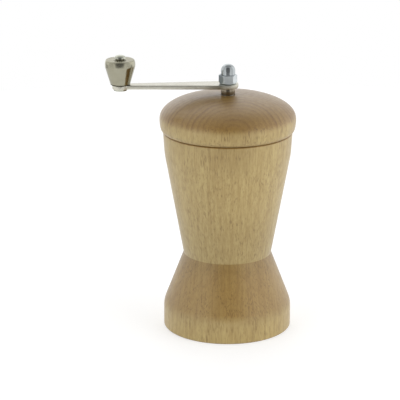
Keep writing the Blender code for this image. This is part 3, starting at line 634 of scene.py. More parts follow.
def closed_mesh(name, shape):
    """Close a bmesh, turn its faces outward and make a mesh of it."""
    bmesh.ops.remove_doubles(shape, verts=shape.verts, dist=MERGE_DISTANCE)
    bmesh.ops.recalc_face_normals(shape, faces=shape.faces)
    mesh = bpy.data.meshes.new(name)
    shape.to_mesh(mesh)
    shape.free()
    return mesh


def turned(name, outline, segments=METAL_SEGMENTS, place=(0, 0)):
    """Turn an outline of radius and height round an upright axis through a place."""
    shape = bmesh.new()
    rim = [shape.verts.new((radius, 0, height)) for radius, height in outline]
    on_axis = outline[0][0] == 0 and outline[-1][0] == 0
    pairs = zip(rim, rim[1:] if on_axis else rim[1:] + rim[:1])
    geometry = rim + [shape.edges.new(pair) for pair in pairs]
    around = {"cent": (0, 0, 0), "axis": (0, 0, 1), "angle": tau, "steps": segments}
    bmesh.ops.spin(shape, geom=geometry, use_merge=True, **around)
    bmesh.ops.remove_doubles(shape, verts=shape.verts, dist=MERGE_DISTANCE)
    bmesh.ops.translate(shape, verts=shape.verts, vec=(*place, 0))
    return add_object(name, closed_mesh(name, shape))


def extruded(name, points, pull):
    """Pull a flat outline of points along a vector."""
    shape = bmesh.new()
    face = shape.faces.new([shape.verts.new(point) for point in points])
    pulled = bmesh.ops.extrude_face_region(shape, geom=[face])
    verts = [part for part in pulled["geom"] if isinstance(part, bmesh.types.BMVert)]
    bmesh.ops.translate(shape, verts=verts, vec=pull)
    return add_object(name, closed_mesh(name, shape))


def raised(name, outline, bottom, top):
    """Raise an outline in the XY plane from one height to another."""
    return extruded(name, [(x, y, bottom) for x, y in outline], (0, 0, top - bottom))


def loft(name, loops):
    """Skin a row of loops of points and close both ends."""
    shape = bmesh.new()
    rows = [[shape.verts.new(point) for point in loop] for loop in loops]
    for near, far in zip(rows, rows[1:]):
        for index in range(len(near)):
            following = (index + 1) % len(near)
            shape.faces.new((near[index], near[following], far[following], far[index]))
    shape.faces.new(rows[0])
    shape.faces.new(rows[-1])
    return add_object(name, closed_mesh(name, shape))


def settle(piece):
    """Apply the piece's modifiers."""
    bpy.context.view_layer.update()
    graph = bpy.context.evaluated_depsgraph_get()
    mesh = bpy.data.meshes.new_from_object(piece.evaluated_get(graph))
    piece.modifiers.clear()
    piece.data = mesh


def combine(piece, other, operation="DIFFERENCE"):
    """Cut, join or trim a piece with another object, which is then removed."""
    modifier = piece.modifiers.new(operation, "BOOLEAN")
    modifier.operation = operation
    modifier.solver = "EXACT"
    modifier.object = other
    settle(piece)
    bpy.data.objects.remove(other)


def soften_edges(piece, width, segments=2):
    """Round the piece's sharp edges."""
    bevel = piece.modifiers.new("edges", "BEVEL")
    bevel.width = width
    bevel.segments = segments
    bevel.limit_method = "ANGLE"
    bevel.angle_limit = SHARP_ANGLE
    settle(piece)


def dress(piece, node, body, material):
    """Finish a piece that stands for a node: its shading, material and body."""
    piece.name = node + "_look"
    piece.data.materials.clear()
    piece.data.materials.append(MATERIALS[material])
    piece.data.shade_smooth()
    piece.data.set_sharp_from_angle(angle=SHARP_ANGLE)
    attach(piece, body)
    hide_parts(node)


def tint_faces(piece, material, bottom, top):
    """Give a second material to the faces between two heights."""
    piece.data.materials.append(MATERIALS[material])
    for face in piece.data.polygons:
        if bottom < face.center.z < top:
            face.material_index = 1


def centre_of(node):
    """The middle of a node's box in plan."""
    low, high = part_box(node)
    return ((low[0] + high[0]) / 2, (low[1] + high[1]) / 2)


def bottom_of(node):
    """The lowest height of a node's box."""
    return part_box(node)[0][2]


def top_of(node):
    """The highest height of a node's box."""
    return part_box(node)[1][2]


def drill(piece, node, radius, place=(0, 0)):
    """Cut a round hole through a piece that stands for a node."""
    bottom, top = bottom_of(node) - LID_GAP, top_of(node) + LID_GAP
    outline = [(0, bottom), (radius, bottom), (radius, top), (0, top)]
    combine(piece, turned("hole", outline, SMALL_SEGMENTS, place))


# Wooden body and lid


def make_body():
    """The turned body, hollow from mouth to foot."""
    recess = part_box("blade_plate")[1][0] + LID_GAP
    chamber_floor = top_of("blade_plate") + LID_GAP
    mouth_floor = BODY_HEIGHT - MOUTH_DEPTH
    corners = [
        (FOOT_RADIUS + FOOT_FLARE, 0, WOOD_EDGE),
        (BASE_RADIUS, 0, BASE_EDGE_RADIUS),
        (BASE_RADIUS, SHOULDER_HEIGHT, SHOULDER_RADIUS),
        (WAIST_RADIUS, WAIST_HEIGHT, WAIST_CREASE),
        (FLARE_RADIUS, BODY_HEIGHT - FLARE_DROP, FLARE_ROUNDING),
        (BODY_TOP_RADIUS, BODY_HEIGHT, BODY_TOP_EDGE),
        (MOUTH_RADIUS, BODY_HEIGHT, WOOD_EDGE),
        (MOUTH_RADIUS, mouth_floor, 0),
        (CHAMBER_RADIUS, mouth_floor, WOOD_EDGE),
        (CHAMBER_RADIUS, chamber_floor, 0),
        (recess, chamber_floor, 0),
        (recess, FOOT_DEPTH, WOOD_EDGE / 2),
        (FOOT_RADIUS, FOOT_DEPTH, 0),
    ]
    body = turned("body", finer(softened(corners, steps=BODY_EDGE_STEPS)), WOOD_SEGMENTS)
    dress(body, "wooden_body", "mill_body", "body_wood")


def dome_outline(bore):
    """Radius and height up the lid's dome, from its widest line to its bore."""
    start = LID_BOTTOM + LID_BULGE_HEIGHT
    rise = LID_TOP - start
    power = 2 / LID_ROUNDNESS
    last = acos((bore / LID_BULGE_RADIUS) ** (LID_ROUNDNESS / 2))
    curve = arc((0, 0), 1, 0, last, DOME_STEPS)
    return [(LID_BULGE_RADIUS * x ** power, start + rise * y ** power) for x, y in curve]


def swell_outline():
    """Radius and height from the lid's rim out to its widest line."""
    swell = LID_BULGE_RADIUS - LID_RIM_RADIUS
    climb = LID_BULGE_HEIGHT - LID_RIM_EDGE
    start = LID_BOTTOM + LID_RIM_EDGE
    quarter = arc((0, 0), 1, 0, pi / 2, SWELL_STEPS)[1:-1]
    return [(LID_RIM_RADIUS + swell * up, start + climb * (1 - across)) for across, up in quarter]


def make_lid():
    """The domed lid with its spigot and bore."""
    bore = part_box("lid_bush")[1][0] + LID_GAP
    rim_centre = (LID_RIM_RADIUS - LID_RIM_EDGE, LID_BOTTOM + LID_RIM_EDGE)
    spigot = [
        (bore, lid_low[2], 0),
        (SPIGOT_RADIUS, lid_low[2], WOOD_EDGE),
        (SPIGOT_RADIUS, LID_BOTTOM, 0),
        (rim_centre[0], LID_BOTTOM, 0),
    ]
    outline = softened(spigot, closed=False)
    outline += arc(rim_centre, LID_RIM_EDGE, -pi / 2, 0, EDGE_STEPS)[1:]
    outline += swell_outline() + dome_outline(bore)
    lid = turned("lid", finer(outline), WOOD_SEGMENTS)
    dress(lid, "wooden_lid", "lid", "lid_wood")


# Plates, bush and screws

SHAFT_RADIUS = 0.0025
SHAFT_FLAT = 0.002
SHAFT_HOLE = SHAFT_RADIUS + LID_GAP
PLATE_EDGE = 0.0002
RING_EDGE = 0.00015


def plain_ring(node, edge, body, material, segments=METAL_SEGMENTS):
    """A turned steel ring round the shaft with rounded edges, in a node's place."""
    low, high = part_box(node)
    corners = box_corners(SHAFT_HOLE, (high[0] - low[0]) / 2, low[2], high[2], edge, edge)
    ring = turned(node, softened(corners, steps=SMALL_EDGE_STEPS), segments, centre_of(node))
    dress(ring, node, body, material)


def make_bearing_parts():
    """The bush through the lid, the plate under its spigot and the washer under the spring."""
    plain_ring("lid_bush", RING_EDGE, "lid", "turned_steel")
    plain_ring("bearing_plate", PLATE_EDGE, "lid", "steel", WOOD_SEGMENTS)
    plain_ring("thrust_washer", RING_EDGE, "spring_follower", "turned_steel")


SCREW_SHANK_RADIUS = 0.0014
SCREW_TIP_RADIUS = 0.0003
SCREW_TIP_LENGTH = 0.0024
SCREW_LENGTH = 0.0078
RECESS_REACH = 0.0015
RECESS_HALF_WIDTH = 0.00032
RECESS_DEPTH = 0.0009
RECESS_TAPER = 0.45
SCREW_HEAD_STEPS = 10


def cross_recess(bottom, top, place):
    """A cutter for a screw's cross recess, narrow at its upper end."""
    reach, half = RECESS_REACH, RECESS_HALF_WIDTH
    outline = []
    for quarter in range(4):
        turn = Matrix.Rotation(pi / 2 * quarter, 2)
        corners = (reach, -half), (reach, half), (half, half)
        outline += [turn @ Vector(corner) for corner in corners]
    loops = []
    for height, scale in ((bottom, 1), (top, RECESS_TAPER)):
        loops.append([(place[0] + x * scale, place[1] + y * scale, height) for x, y in outline])
    return loft("recess", loops)


def make_screw(node, body):
    """A domed wood screw that points up, with a cross recess in its head."""
    low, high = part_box(node)
    head_radius = (high[0] - low[0]) / 2
    under_head = high[2] - SCREW_LENGTH
    rim = under_head + RING_EDGE / 2
    outline = dome(head_radius, under_head, low[2], SCREW_HEAD_STEPS)[::-1] + [
        (head_radius - RING_EDGE, rim),
        (SCREW_SHANK_RADIUS, rim),
        (SCREW_SHANK_RADIUS, high[2] - SCREW_TIP_LENGTH),
        (SCREW_TIP_RADIUS, high[2]),
        (0, high[2]),
    ]
    screw = turned(node, outline, SMALL_SEGMENTS, centre_of(node))
    combine(screw, cross_recess(low[2] - LID_GAP, low[2] + RECESS_DEPTH, centre_of(node)))
    dress(screw, node, body, "steel")


# Blade


SLOT_INNER = 0.0005
SLOT_HALF_WIDTH = 0.0016
SLOT_END_MARGIN = 0.0004
SLOT_BEVEL = 0.00015
SLOT_END_STEPS = 12
RIVET_RADIUS = 0.0009
RIVET_HEAD_STEPS = 8


def make_blade_plate():
    """The steel disc under the chamber, with its slot and its screw and rivet holes."""
    low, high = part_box("blade_plate")
    corners = box_corners(0, high[0], low[2], high[2], PLATE_EDGE)
    plate = turned("plate", softened(corners, closed=False, steps=SMALL_EDGE_STEPS), WOOD_SEGMENTS)
    half = SLOT_HALF_WIDTH
    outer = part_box("grating_blade")[1][0] - SLOT_END_MARGIN
    ends = arc((outer - half, 0), half, -pi / 2, pi / 2, SLOT_END_STEPS)
    ends += arc((SLOT_INNER + half, 0), half, pi / 2, 3 * pi / 2, SLOT_END_STEPS)
    combine(plate, raised("slot", ends, low[2] - LID_GAP, high[2] + LID_GAP))
    for index in (1, 2, 3):
        drill(plate, "blade_plate", SCREW_SHANK_RADIUS, centre_of(f"base_screw_{index}"))
    for index in (1, 2):
        drill(plate, "blade_plate", RIVET_RADIUS, centre_of(f"blade_rivet_{index}"))
    soften_edges(plate, SLOT_BEVEL)
    dress(plate, "blade_plate", "mill_body", "steel")


BLADE_THICKNESS = 0.0006
BLADE_RISE = 0.0008
BLADE_LIFTED_WIDTH = 0.0032
BLADE_BEND_RADIUS = 0.0015
BLADE_GRIND = 0.0009
BLADE_TIP = 0.00005


def blade_section():
    """The blade's section across and up: a flat heel, a soft bend, and a ground edge."""
    low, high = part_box("grating_blade")
    bend = high[1] - BLADE_LIFTED_WIDTH
    floor = low[2]
    heel_top = floor + BLADE_THICKNESS
    slope = BLADE_RISE / BLADE_LIFTED_WIDTH
    grind_start = high[1] - BLADE_GRIND
    corners = [
        (low[1], floor, RING_EDGE),
        (bend, floor, BLADE_BEND_RADIUS),
        (grind_start, floor + slope * (grind_start - bend), 0),
        (high[1], high[2] - BLADE_TIP, 0),
        (high[1], high[2], 0),
        (bend, heel_top, BLADE_BEND_RADIUS),
        (low[1], heel_top, RING_EDGE),
    ]
    return softened(corners, steps=BLADE_EDGE_STEPS)


def make_blade():
    """The bent blade over the slot."""
    low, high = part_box("grating_blade")
    section = [(low[0], across, height) for across, height in blade_section()]
    blade = extruded("blade", section, (high[0] - low[0], 0, 0))
    for index in (1, 2):
        drill(blade, "grating_blade", RIVET_RADIUS, centre_of(f"blade_rivet_{index}"))
    dress(blade, "grating_blade", "mill_body", "steel")


def make_rivet(node):
    """A rivet with a domed head at each end."""
    low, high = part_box(node)
    head_radius = (high[0] - low[0]) / 2
    lower_seat = bottom_of("blade_plate")
    upper_seat = bottom_of("grating_blade") + BLADE_THICKNESS
    outline = dome(head_radius, lower_seat, low[2], RIVET_HEAD_STEPS)[::-1]
    outline += [(RIVET_RADIUS, lower_seat), (RIVET_RADIUS, upper_seat)]
    outline += dome(head_radius, upper_seat, high[2], RIVET_HEAD_STEPS)
    rivet = turned(node, outline, SMALL_SEGMENTS, centre_of(node))
    dress(rivet, node, "mill_body", "steel")


# Spring


SPRING_WIRE_RADIUS = 0.0005
SPRING_TURNS = 11
SPRING_END_TURNS = 1
SPRING_END_GAP = 0.00045
SPRING_POINTS_PER_TURN = 36
SPRING_SIDES = 12


def spring_points():
    """Points along the spring's wire, with a close turn at each end."""
    low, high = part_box("press_spring")
    radius = high[0] - SPRING_WIRE_RADIUS
    bottom, top = low[2] + SPRING_WIRE_RADIUS, high[2] - SPRING_WIRE_RADIUS
    end_pitch = 2 * SPRING_WIRE_RADIUS + SPRING_END_GAP
    pitch = (top - bottom - 2 * SPRING_END_TURNS * end_pitch) / SPRING_TURNS
    points = []
    for step in range((SPRING_TURNS + 2 * SPRING_END_TURNS) * SPRING_POINTS_PER_TURN + 1):
        turn = step / SPRING_POINTS_PER_TURN
        close = min(turn, SPRING_END_TURNS) + max(turn - SPRING_END_TURNS - SPRING_TURNS, 0)
        height = bottom + close * end_pitch + (turn - close) * pitch
        points.append(Vector((radius * cos(turn * tau), radius * sin(turn * tau), height)))
    return points


def make_spring():
    """The compression spring, one unbroken wire."""
    points = spring_points()
    circle = arc((0, 0), 1, 0, tau, SPRING_SIDES)[:-1]
    loops = []
    for before, point, after in zip(points[:1] + points, points, points[1:] + points[-1:]):
        outward = Vector((point.x, point.y, 0)).normalized()
        upward = (after - before).normalized().cross(outward)
        spokes = [outward * across + upward * up for across, up in circle]
        loops.append([point + spoke * SPRING_WIRE_RADIUS for spoke in spokes])
    spring = loft("spring", loops)
    dress(spring, "press_spring", "lid", "spring_steel")
    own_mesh(spring)


# Shaft, sleeve and arm


COLLAR_RADIUS = 0.0045
COLLAR_EDGE = 0.0003
SHAFT_END_CHAMFER = 0.0004
THREAD_PITCH = 0.0008
THREAD_DEPTH = 0.0004
THREAD_ROWS = 8


def threaded_rows(bottom, top):
    """Heights of a threaded run, close enough to show its grooves."""
    count = round((top - bottom) / THREAD_PITCH * THREAD_ROWS)
    return [bottom + (top - bottom) * step / count for step in range(count + 1)]


def thread_radius(height, angle):
    """The shaft's radius at a height and angle of its thread."""
    turn = (height / THREAD_PITCH - angle / tau) % 1
    return SHAFT_RADIUS - THREAD_DEPTH * abs(2 * turn - 1)


def shaft_rows():
    """Rows of the shaft as height, radius and whether it is threaded there."""
    low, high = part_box("drive_shaft")
    collar_bottom = top_of("claw_plate") + LID_GAP
    collar_top = bottom_of("thrust_washer") - LID_GAP
    thread_start = bottom_of("cap_nut")
    collar_rim = COLLAR_RADIUS - COLLAR_EDGE
    end_rim = SHAFT_RADIUS - SHAFT_END_CHAMFER
    rows = [(low[2], end_rim, False)]
    lower_thread = threaded_rows(low[2] + SHAFT_END_CHAMFER, collar_bottom)
    rows += [(height, SHAFT_RADIUS, True) for height in lower_thread]
    rows += [
        (collar_bottom, collar_rim, False),
        (collar_bottom + COLLAR_EDGE, COLLAR_RADIUS, False),
        (collar_top - COLLAR_EDGE, COLLAR_RADIUS, False),
        (collar_top, collar_rim, False),
        (collar_top, SHAFT_RADIUS, False),
    ]
    plain = thread_start - collar_top
    count = round(plain / LONGEST_RUN)
    rows += [(collar_top + plain * step / count, SHAFT_RADIUS, False) for step in range(1, count)]
    upper_thread = threaded_rows(thread_start, high[2] - SHAFT_END_CHAMFER)
    rows += [(height, SHAFT_RADIUS, True) for height in upper_thread]
    return rows + [(high[2], end_rim, False)]


def make_shaft():
    """The shaft: threaded at both ends, collared, and flatted where the arm sits on it."""
    flats_start = top_of("arm_sleeve")
    loops = []
    for height, radius, threaded in shaft_rows():
        loop = []
        for side in range(METAL_SEGMENTS):
            angle = tau * side / METAL_SEGMENTS
            here = thread_radius(height, angle) if threaded else radius
            across = here * sin(angle)
            if height > flats_start:
                across = max(-SHAFT_FLAT, min(SHAFT_FLAT, across))
            loop.append((here * cos(angle), across, height))
        loops.append(loop)
    dress(loft("shaft", loops), "drive_shaft", "crank", "turned_steel")


SEAT_GAP = 0.00004
SLEEVE_EDGE = 0.00025


def make_sleeve():
    """The sleeve between the lid and the arm."""
    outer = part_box("arm_sleeve")[1][0]
    top = bottom_of("crank_arm") - SEAT_GAP
    corners = box_corners(SHAFT_HOLE, outer, LID_TOP + SEAT_GAP, top, SLEEVE_EDGE)
    sleeve = turned("sleeve", softened(corners))
    dress(sleeve, "arm_sleeve", "crank", "sleeve_steel")


ARM_HUB_RADIUS = 0.0052
ARM_NECK_HALF_WIDTH = 0.0023
ARM_EYE_RADIUS = 0.004
ARM_NECK_FILLET = 0.002
ARM_EDGE = 0.0003
ARM_END_STEPS = 20
ARM_FILLET_STEPS = 8
PIN_RADIUS = 0.0019


def arm_outline(eye_across):
    """Outline of the arm: a hub, a tapered strip, and an eye on small fillets."""
    lean = asin((ARM_HUB_RADIUS - ARM_NECK_HALF_WIDTH) / -eye_across)
    normal = Vector((-sin(lean), cos(lean)))
    along = Vector((-normal.y, normal.x))
    eye = Vector((eye_across, 0))
    offset = ARM_NECK_HALF_WIDTH + ARM_NECK_FILLET
    back = sqrt((ARM_EYE_RADIUS + ARM_NECK_FILLET) ** 2 - offset ** 2)
    fillet_centre = eye + normal * offset - along * back
    towards_eye = eye - fillet_centre
    to_strip = atan2(-normal.y, -normal.x)
    to_eye = atan2(towards_eye.y, towards_eye.x)
    eye_start = atan2(-towards_eye.y, -towards_eye.x)
    side = arc((0, 0), ARM_HUB_RADIUS, 0, atan2(normal.y, normal.x), ARM_END_STEPS)
    side += arc(fillet_centre, ARM_NECK_FILLET, to_strip, to_eye, ARM_FILLET_STEPS)
    side += arc(eye, ARM_EYE_RADIUS, eye_start, pi, ARM_END_STEPS)
    return side + [(x, -y) for x, y in reversed(side[1:-1])]


def make_arm():
    """The flat crank arm with rounded edges."""
    low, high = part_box("crank_arm")
    eye = centre_of("crank_knob")
    arm = raised("arm", finer(arm_outline(eye[0])), low[2], high[2])
    drill(arm, "crank_arm", SHAFT_RADIUS)
    drill(arm, "crank_arm", PIN_RADIUS, eye)
    soften_edges(arm, ARM_EDGE, SMALL_EDGE_STEPS)
    dress(arm, "crank_arm", "crank", "arm_nickel")


# Nuts


NUT_ACROSS_FLATS = 0.008
NUT_HEX_HEIGHT = 0.0042
NUT_DOME_RADIUS = 0.0036
NUT_DOME_ROUNDNESS = 2.25
NUT_CHAMFER_ANGLE = radians(30)
NUT_FOOT_ANGLE = radians(52)
NUT_CORNER_EDGE = 0.0003
NUT_TURN = radians(0.4)
NUT_BORE_DEPTH = 0.0071
NUT_GROOVE = 0.00012
NUT_DOME_STEPS = 20


def hexagon():
    """A nut's hexagon with rounded corners."""
    corner_radius = NUT_ACROSS_FLATS / 2 / cos(pi / HEX_SIDES)
    corners = arc((0, 0), corner_radius, NUT_TURN, NUT_TURN + tau, HEX_SIDES)[:-1]
    return softened([(*point, NUT_CORNER_EDGE) for point in corners], steps=SMALL_EDGE_STEPS)


def nut_sides(bottom, top, foot_angle):
    """Radius and height up a nut's outside, with the chamfers that cut its corners."""
    face = NUT_ACROSS_FLATS / 2
    widest = face / cos(pi / HEX_SIDES) + LID_GAP
    return [
        (face - NUT_GROOVE, bottom),
        (widest, bottom + (widest - face) * tan(foot_angle)),
        (widest, top - (widest - face) * tan(NUT_CHAMFER_ANGLE)),
        (face - NUT_GROOVE, top),
    ]


def make_nut(node, blank, bottom):
    """A nut: a hexagon trimmed to a turned blank."""
    nut = raised("nut", hexagon(), bottom - LID_GAP, top_of(node) + LID_GAP)
    combine(nut, turned("blank", blank), "INTERSECT")
    dress(nut, node, "crank", "zinc")


def make_cap_nut():
    """The domed nut on the arm's hub."""
    low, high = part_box("cap_nut")
    bottom = low[2] - LID_GAP + SEAT_GAP
    hex_top = low[2] + NUT_HEX_HEIGHT
    bore_top = low[2] + NUT_BORE_DEPTH
    radius = NUT_DOME_RADIUS
    blank = [(0, bore_top), (SHAFT_RADIUS, bore_top), (SHAFT_RADIUS, bottom)]
    blank += nut_sides(bottom, hex_top, NUT_FOOT_ANGLE)
    blank += [(radius - NUT_GROOVE, hex_top), (radius, hex_top + NUT_GROOVE)]
    blank += dome(radius, high[2] - radius, high[2], NUT_DOME_STEPS, NUT_DOME_ROUNDNESS)
    make_nut("cap_nut", blank, bottom)


def make_claw_nut():
    """The thin hexagon nut under the claw plate."""
    low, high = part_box("claw_nut")
    top = high[2] + LID_GAP - SEAT_GAP
    blank = [(SHAFT_RADIUS + RING_EDGE, low[2])]
    blank += nut_sides(low[2], top, NUT_CHAMFER_ANGLE)
    blank += [(SHAFT_RADIUS, top), (SHAFT_RADIUS, low[2] + RING_EDGE)]
    make_nut("claw_nut", blank, low[2])


# Knob and its rivet


KNOB_FOOT_RADIUS = 0.0047
KNOB_SHOULDER = 0.0009
KNOB_FLARE_HEIGHT = 0.0091
KNOB_BAND_HEIGHT = 0.0012
KNOB_FOOT_EDGE = 0.0003
# Height of the band of painted shade at the knob's foot
KNOB_GAP_SHADE_HEIGHT = 0.0006
KNOB_BAND_EDGE = 0.004
KNOB_SHOULDER_STEPS = 16
PIN_HEAD_RADIUS = 0.0029
PIN_HEAD_HEIGHT = 0.0015
PIN_HEAD_ROUNDNESS = 2.2
PIN_FOOT_RADIUS = 0.0034
PIN_EDGE = 0.0002
PIN_HEAD_STEPS = 14


def make_knob():
    """The flared knob."""
    low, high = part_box("crank_knob")
    bottom = low[2] - LID_GAP + SEAT_GAP
    radius = (high[0] - low[0]) / 2
    widest = low[2] + KNOB_FLARE_HEIGHT
    band_top = widest + KNOB_BAND_HEIGHT
    hole = PIN_RADIUS + LID_GAP
    gap_shade_top = bottom + KNOB_GAP_SHADE_HEIGHT
    gap_shade_share = KNOB_GAP_SHADE_HEIGHT / KNOB_FLARE_HEIGHT
    foot = [
        (hole, bottom, 0),
        (KNOB_FOOT_RADIUS, bottom, KNOB_FOOT_EDGE),
        (KNOB_FOOT_RADIUS + (radius - KNOB_FOOT_RADIUS) * gap_shade_share, gap_shade_top, 0),
        (radius, widest, KNOB_BAND_EDGE),
        (radius, band_top, 0),
    ]
    outline = softened(foot, closed=False)
    for across, rise in arc((0, 0), 1, 0, pi / 2, KNOB_SHOULDER_STEPS)[1:]:
        shoulder = radius - KNOB_SHOULDER * (1 - across)
        outline.append((shoulder, band_top + (high[2] - band_top) * rise))
    outline += [(hole + RING_EDGE, high[2]), (hole, high[2] - RING_EDGE)]
    knob = turned("knob", finer(outline), METAL_SEGMENTS, centre_of("crank_knob"))
    dress(knob, "crank_knob", "knob", "knob_nickel")
    # The knob's lowest band is painted shade, the dark gap over the arm's eye
    tint_faces(knob, "gap_shade", 0, gap_shade_top)


def make_pin():
    """The rivet that the knob turns on, with a domed head and a flat foot."""
    low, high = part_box("knob_pin")
    seat = high[2] - PIN_HEAD_HEIGHT
    foot_top = bottom_of("crank_arm") - SEAT_GAP
    corners = [
        (0, low[2], 0),
        (PIN_FOOT_RADIUS, low[2], PIN_EDGE),
        (PIN_FOOT_RADIUS, foot_top, 0),
        (PIN_RADIUS, foot_top, 0),
        (PIN_RADIUS, seat, 0),
    ]
    outline = softened(corners, closed=False)
    outline += dome(PIN_HEAD_RADIUS, seat, high[2], PIN_HEAD_STEPS, PIN_HEAD_ROUNDNESS)
    pin = turned("pin", outline, METAL_SEGMENTS, centre_of("crank_knob"))
    dress(pin, "knob_pin", "crank", "rivet_steel")
    # The shank between the foot and the head is painted shade, dark under the head
    tint_faces(pin, "shank_shade", foot_top, seat + MERGE_DISTANCE)


# Claw


CLAW_DISC_RADIUS = 0.0078
CLAW_THICKNESS = 0.0012
CLAW_PRONG_COUNT = 3
CLAW_PRONG_RADIUS = 0.0098
CLAW_PRONG_WIDTH = 0.005
CLAW_TIP_WIDTH = 0.0008
CLAW_BEND_RADIUS = 0.0016
CLAW_EDGE = 0.00025
PRONG_ROOT = 0.001
PRONG_EDGE_SHARE = 0.6
BEND_STEPS = 10
TAPER_STEPS = 8


def prong_stations(low, high):
    """Centre, outward direction and width along a prong, round the bend to its tip."""
    middle = high - CLAW_THICKNESS / 2
    across = CLAW_PRONG_RADIUS - CLAW_THICKNESS / 2
    bend = (across - CLAW_BEND_RADIUS, middle - CLAW_BEND_RADIUS)
    stations = [((CLAW_DISC_RADIUS - PRONG_ROOT, middle), pi / 2, CLAW_PRONG_WIDTH)]
    for step, point in enumerate(arc(bend, CLAW_BEND_RADIUS, pi / 2, 0, BEND_STEPS)):
        stations.append((point, pi / 2 * (1 - step / BEND_STEPS), CLAW_PRONG_WIDTH))
    for step in range(1, TAPER_STEPS + 1):
        share = step / TAPER_STEPS
        width = CLAW_PRONG_WIDTH + (CLAW_TIP_WIDTH - CLAW_PRONG_WIDTH) * share
        stations.append(((across, bend[1] + (low - bend[1]) * share), 0, width))
    return stations


def prong_loop(width):
    """The prong's rounded section as side and depth."""
    side, depth = width / 2, CLAW_THICKNESS / 2
    edge = min(CLAW_EDGE, side * PRONG_EDGE_SHARE)
    return softened(box_corners(-side, side, -depth, depth, edge, edge), steps=SMALL_EDGE_STEPS)


def make_prong(index, low, high):
    """One bent prong, lofted and turned to its place round the axis."""
    loops = []
    for (radius, height), direction, width in prong_stations(low, high):
        out, up = cos(direction), sin(direction)
        section = prong_loop(width)
        loops.append([(radius + depth * out, side, height + depth * up) for side, depth in section])
    prong = loft("prong", loops)
    prong.data.transform(Matrix.Rotation(tau * index / CLAW_PRONG_COUNT, 4, "Z"))
    return prong


def make_claw():
    """The claw plate: a disc with bent prongs that grip the nutmeg."""
    low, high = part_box("claw_plate")
    bottom = high[2] - CLAW_THICKNESS
    corners = box_corners(SHAFT_HOLE, CLAW_DISC_RADIUS, bottom, high[2], CLAW_EDGE)
    claw = turned("claw", softened(corners, steps=SMALL_EDGE_STEPS))
    for index in range(CLAW_PRONG_COUNT):
        combine(claw, make_prong(index, low[2], high[2]), "UNION")
    dress(claw, "claw_plate", "crank", "steel")


def make_pieces():
    """Every piece of the mill."""
    make_body()
    make_lid()
    make_bearing_parts()
    for index in (1, 2, 3):
        make_screw(f"lid_screw_{index}", "lid")
        make_screw(f"base_screw_{index}", "mill_body")
    make_blade_plate()
    make_blade()
    for index in (1, 2):
        make_rivet(f"blade_rivet_{index}")
    make_spring()
    make_shaft()
    make_sleeve()
    make_arm()
    make_cap_nut()
    make_claw()
    make_claw_nut()
    make_knob()
    make_pin()


# Stage


def make_camera():
    """The camera, set as the photograph was taken, on the side that turns the arm's end nearer."""
    data = bpy.data.cameras.new("camera")
    data.sensor_width = SENSOR_WIDTH
    data.lens = FOCAL_PIXELS * SENSOR_WIDTH / PHOTO_SIDE_PIXELS
    data.clip_start, data.clip_end = CAMERA_CLIP
    camera = add_object("camera", data)
    turn = Matrix.Rotation(-ARM_TURN, 4, "Z")
    camera.location = turn @ Vector((CAMERA_SIDE, -CAMERA_DISTANCE, CAMERA_HEIGHT))
    camera.rotation_euler = (pi / 2 - CAMERA_PITCH, 0, CAMERA_YAW - ARM_TURN)
    bpy.context.scene.camera = camera


# Directions to the camera's right and towards it, level with the ground
ACROSS = (cos(ARM_TURN), -sin(ARM_TURN), 0)
TOWARDS = (-sin(ARM_TURN), -cos(ARM_TURN), 0)

TABLE_SHARE = 0.6
TABLE_RISE = (radians(-9), radians(-2))
TABLE_SIDE = (-0.84, -0.70)
TABLE_FRONT = (-0.25, -0.05)
TABLE_NEAR = (300, 440)


def dim_table(shader, side, facing, dim):
    """Share of the light that comes from a direction, dimmed at the left behind the mill."""
    beside = shader.span(side, *TABLE_SIDE, dim, 1.0)
    return shader.span(facing, *TABLE_FRONT, beside, 1.0)


def bearings(shader, direction):
    """How far a direction points to the camera's right, and how far towards the camera."""
    return [shader.vector("DOT_PRODUCT", direction, axis) for axis in (ACROSS, TOWARDS)]


FLOOR_RADIUS = 0.5
FLOOR_SEGMENTS = 128
FLOOR_COLOUR = (0.74, 0.74, 0.74, 1)
FLOOR_SEEN = (0.56, 0.56, 0.56, 1)
FLOOR_LIFT = 0.55
# Floor glow in reflections, near and far, and its fall-off behind the mill, painted shade
FLOOR_GLOSS_LIFT = (0.27, 0.21)
FAR_FLOOR = (40, 160)


def make_floor():
    """A pale floor that takes the mill's shadow and runs out to white."""
    shape = bmesh.new()
    bmesh.ops.create_circle(shape, cap_ends=True, radius=FLOOR_RADIUS, segments=FLOOR_SEGMENTS)
    floor = add_object("floor", closed_mesh("floor", shape))
    shader = Shader(bpy.data.materials.new("floor_white"))
    seen = shader.seen()
    glossy = shader.ray("Glossy")
    place = shader.place(EVEN)
    # In reflections only, painted shade: the floor's glow falls off behind the mill
    near = shader.span(shader.split(place)[1], *FAR_FLOOR, *FLOOR_GLOSS_LIFT)
    side, facing = bearings(shader, shader.vector("NORMALIZE", place))
    dim = shader.span(shader.vector("LENGTH", place), *TABLE_NEAR, 1.0, TABLE_SHARE)
    # In reflections only, painted shade: the floor is dimmed at the left behind the mill
    table = dim_table(shader, side, facing, dim)
    colour = shader.mix(seen, FLOOR_COLOUR, FLOOR_SEEN)
    colour = shader.mix(glossy, colour, table, "MULTIPLY")
    diffuse = shader.node("ShaderNodeBsdfDiffuse", {"Color": colour})
    mirrored = shader.times(glossy, shader.times(near, table))
    strength = shader.plus(shader.times(seen, FLOOR_LIFT), mirrored)
    lift = shader.node("ShaderNodeEmission", {"Strength": strength})
    both = shader.node("ShaderNodeAddShader", {0: diffuse.outputs[0], 1: lift.outputs[0]})
    shader.put(both.outputs[0], shader.tree.nodes["Material Output"].inputs["Surface"])
    shader.tree.nodes.remove(shader.surface)
    floor.data.materials.append(shader.owner)


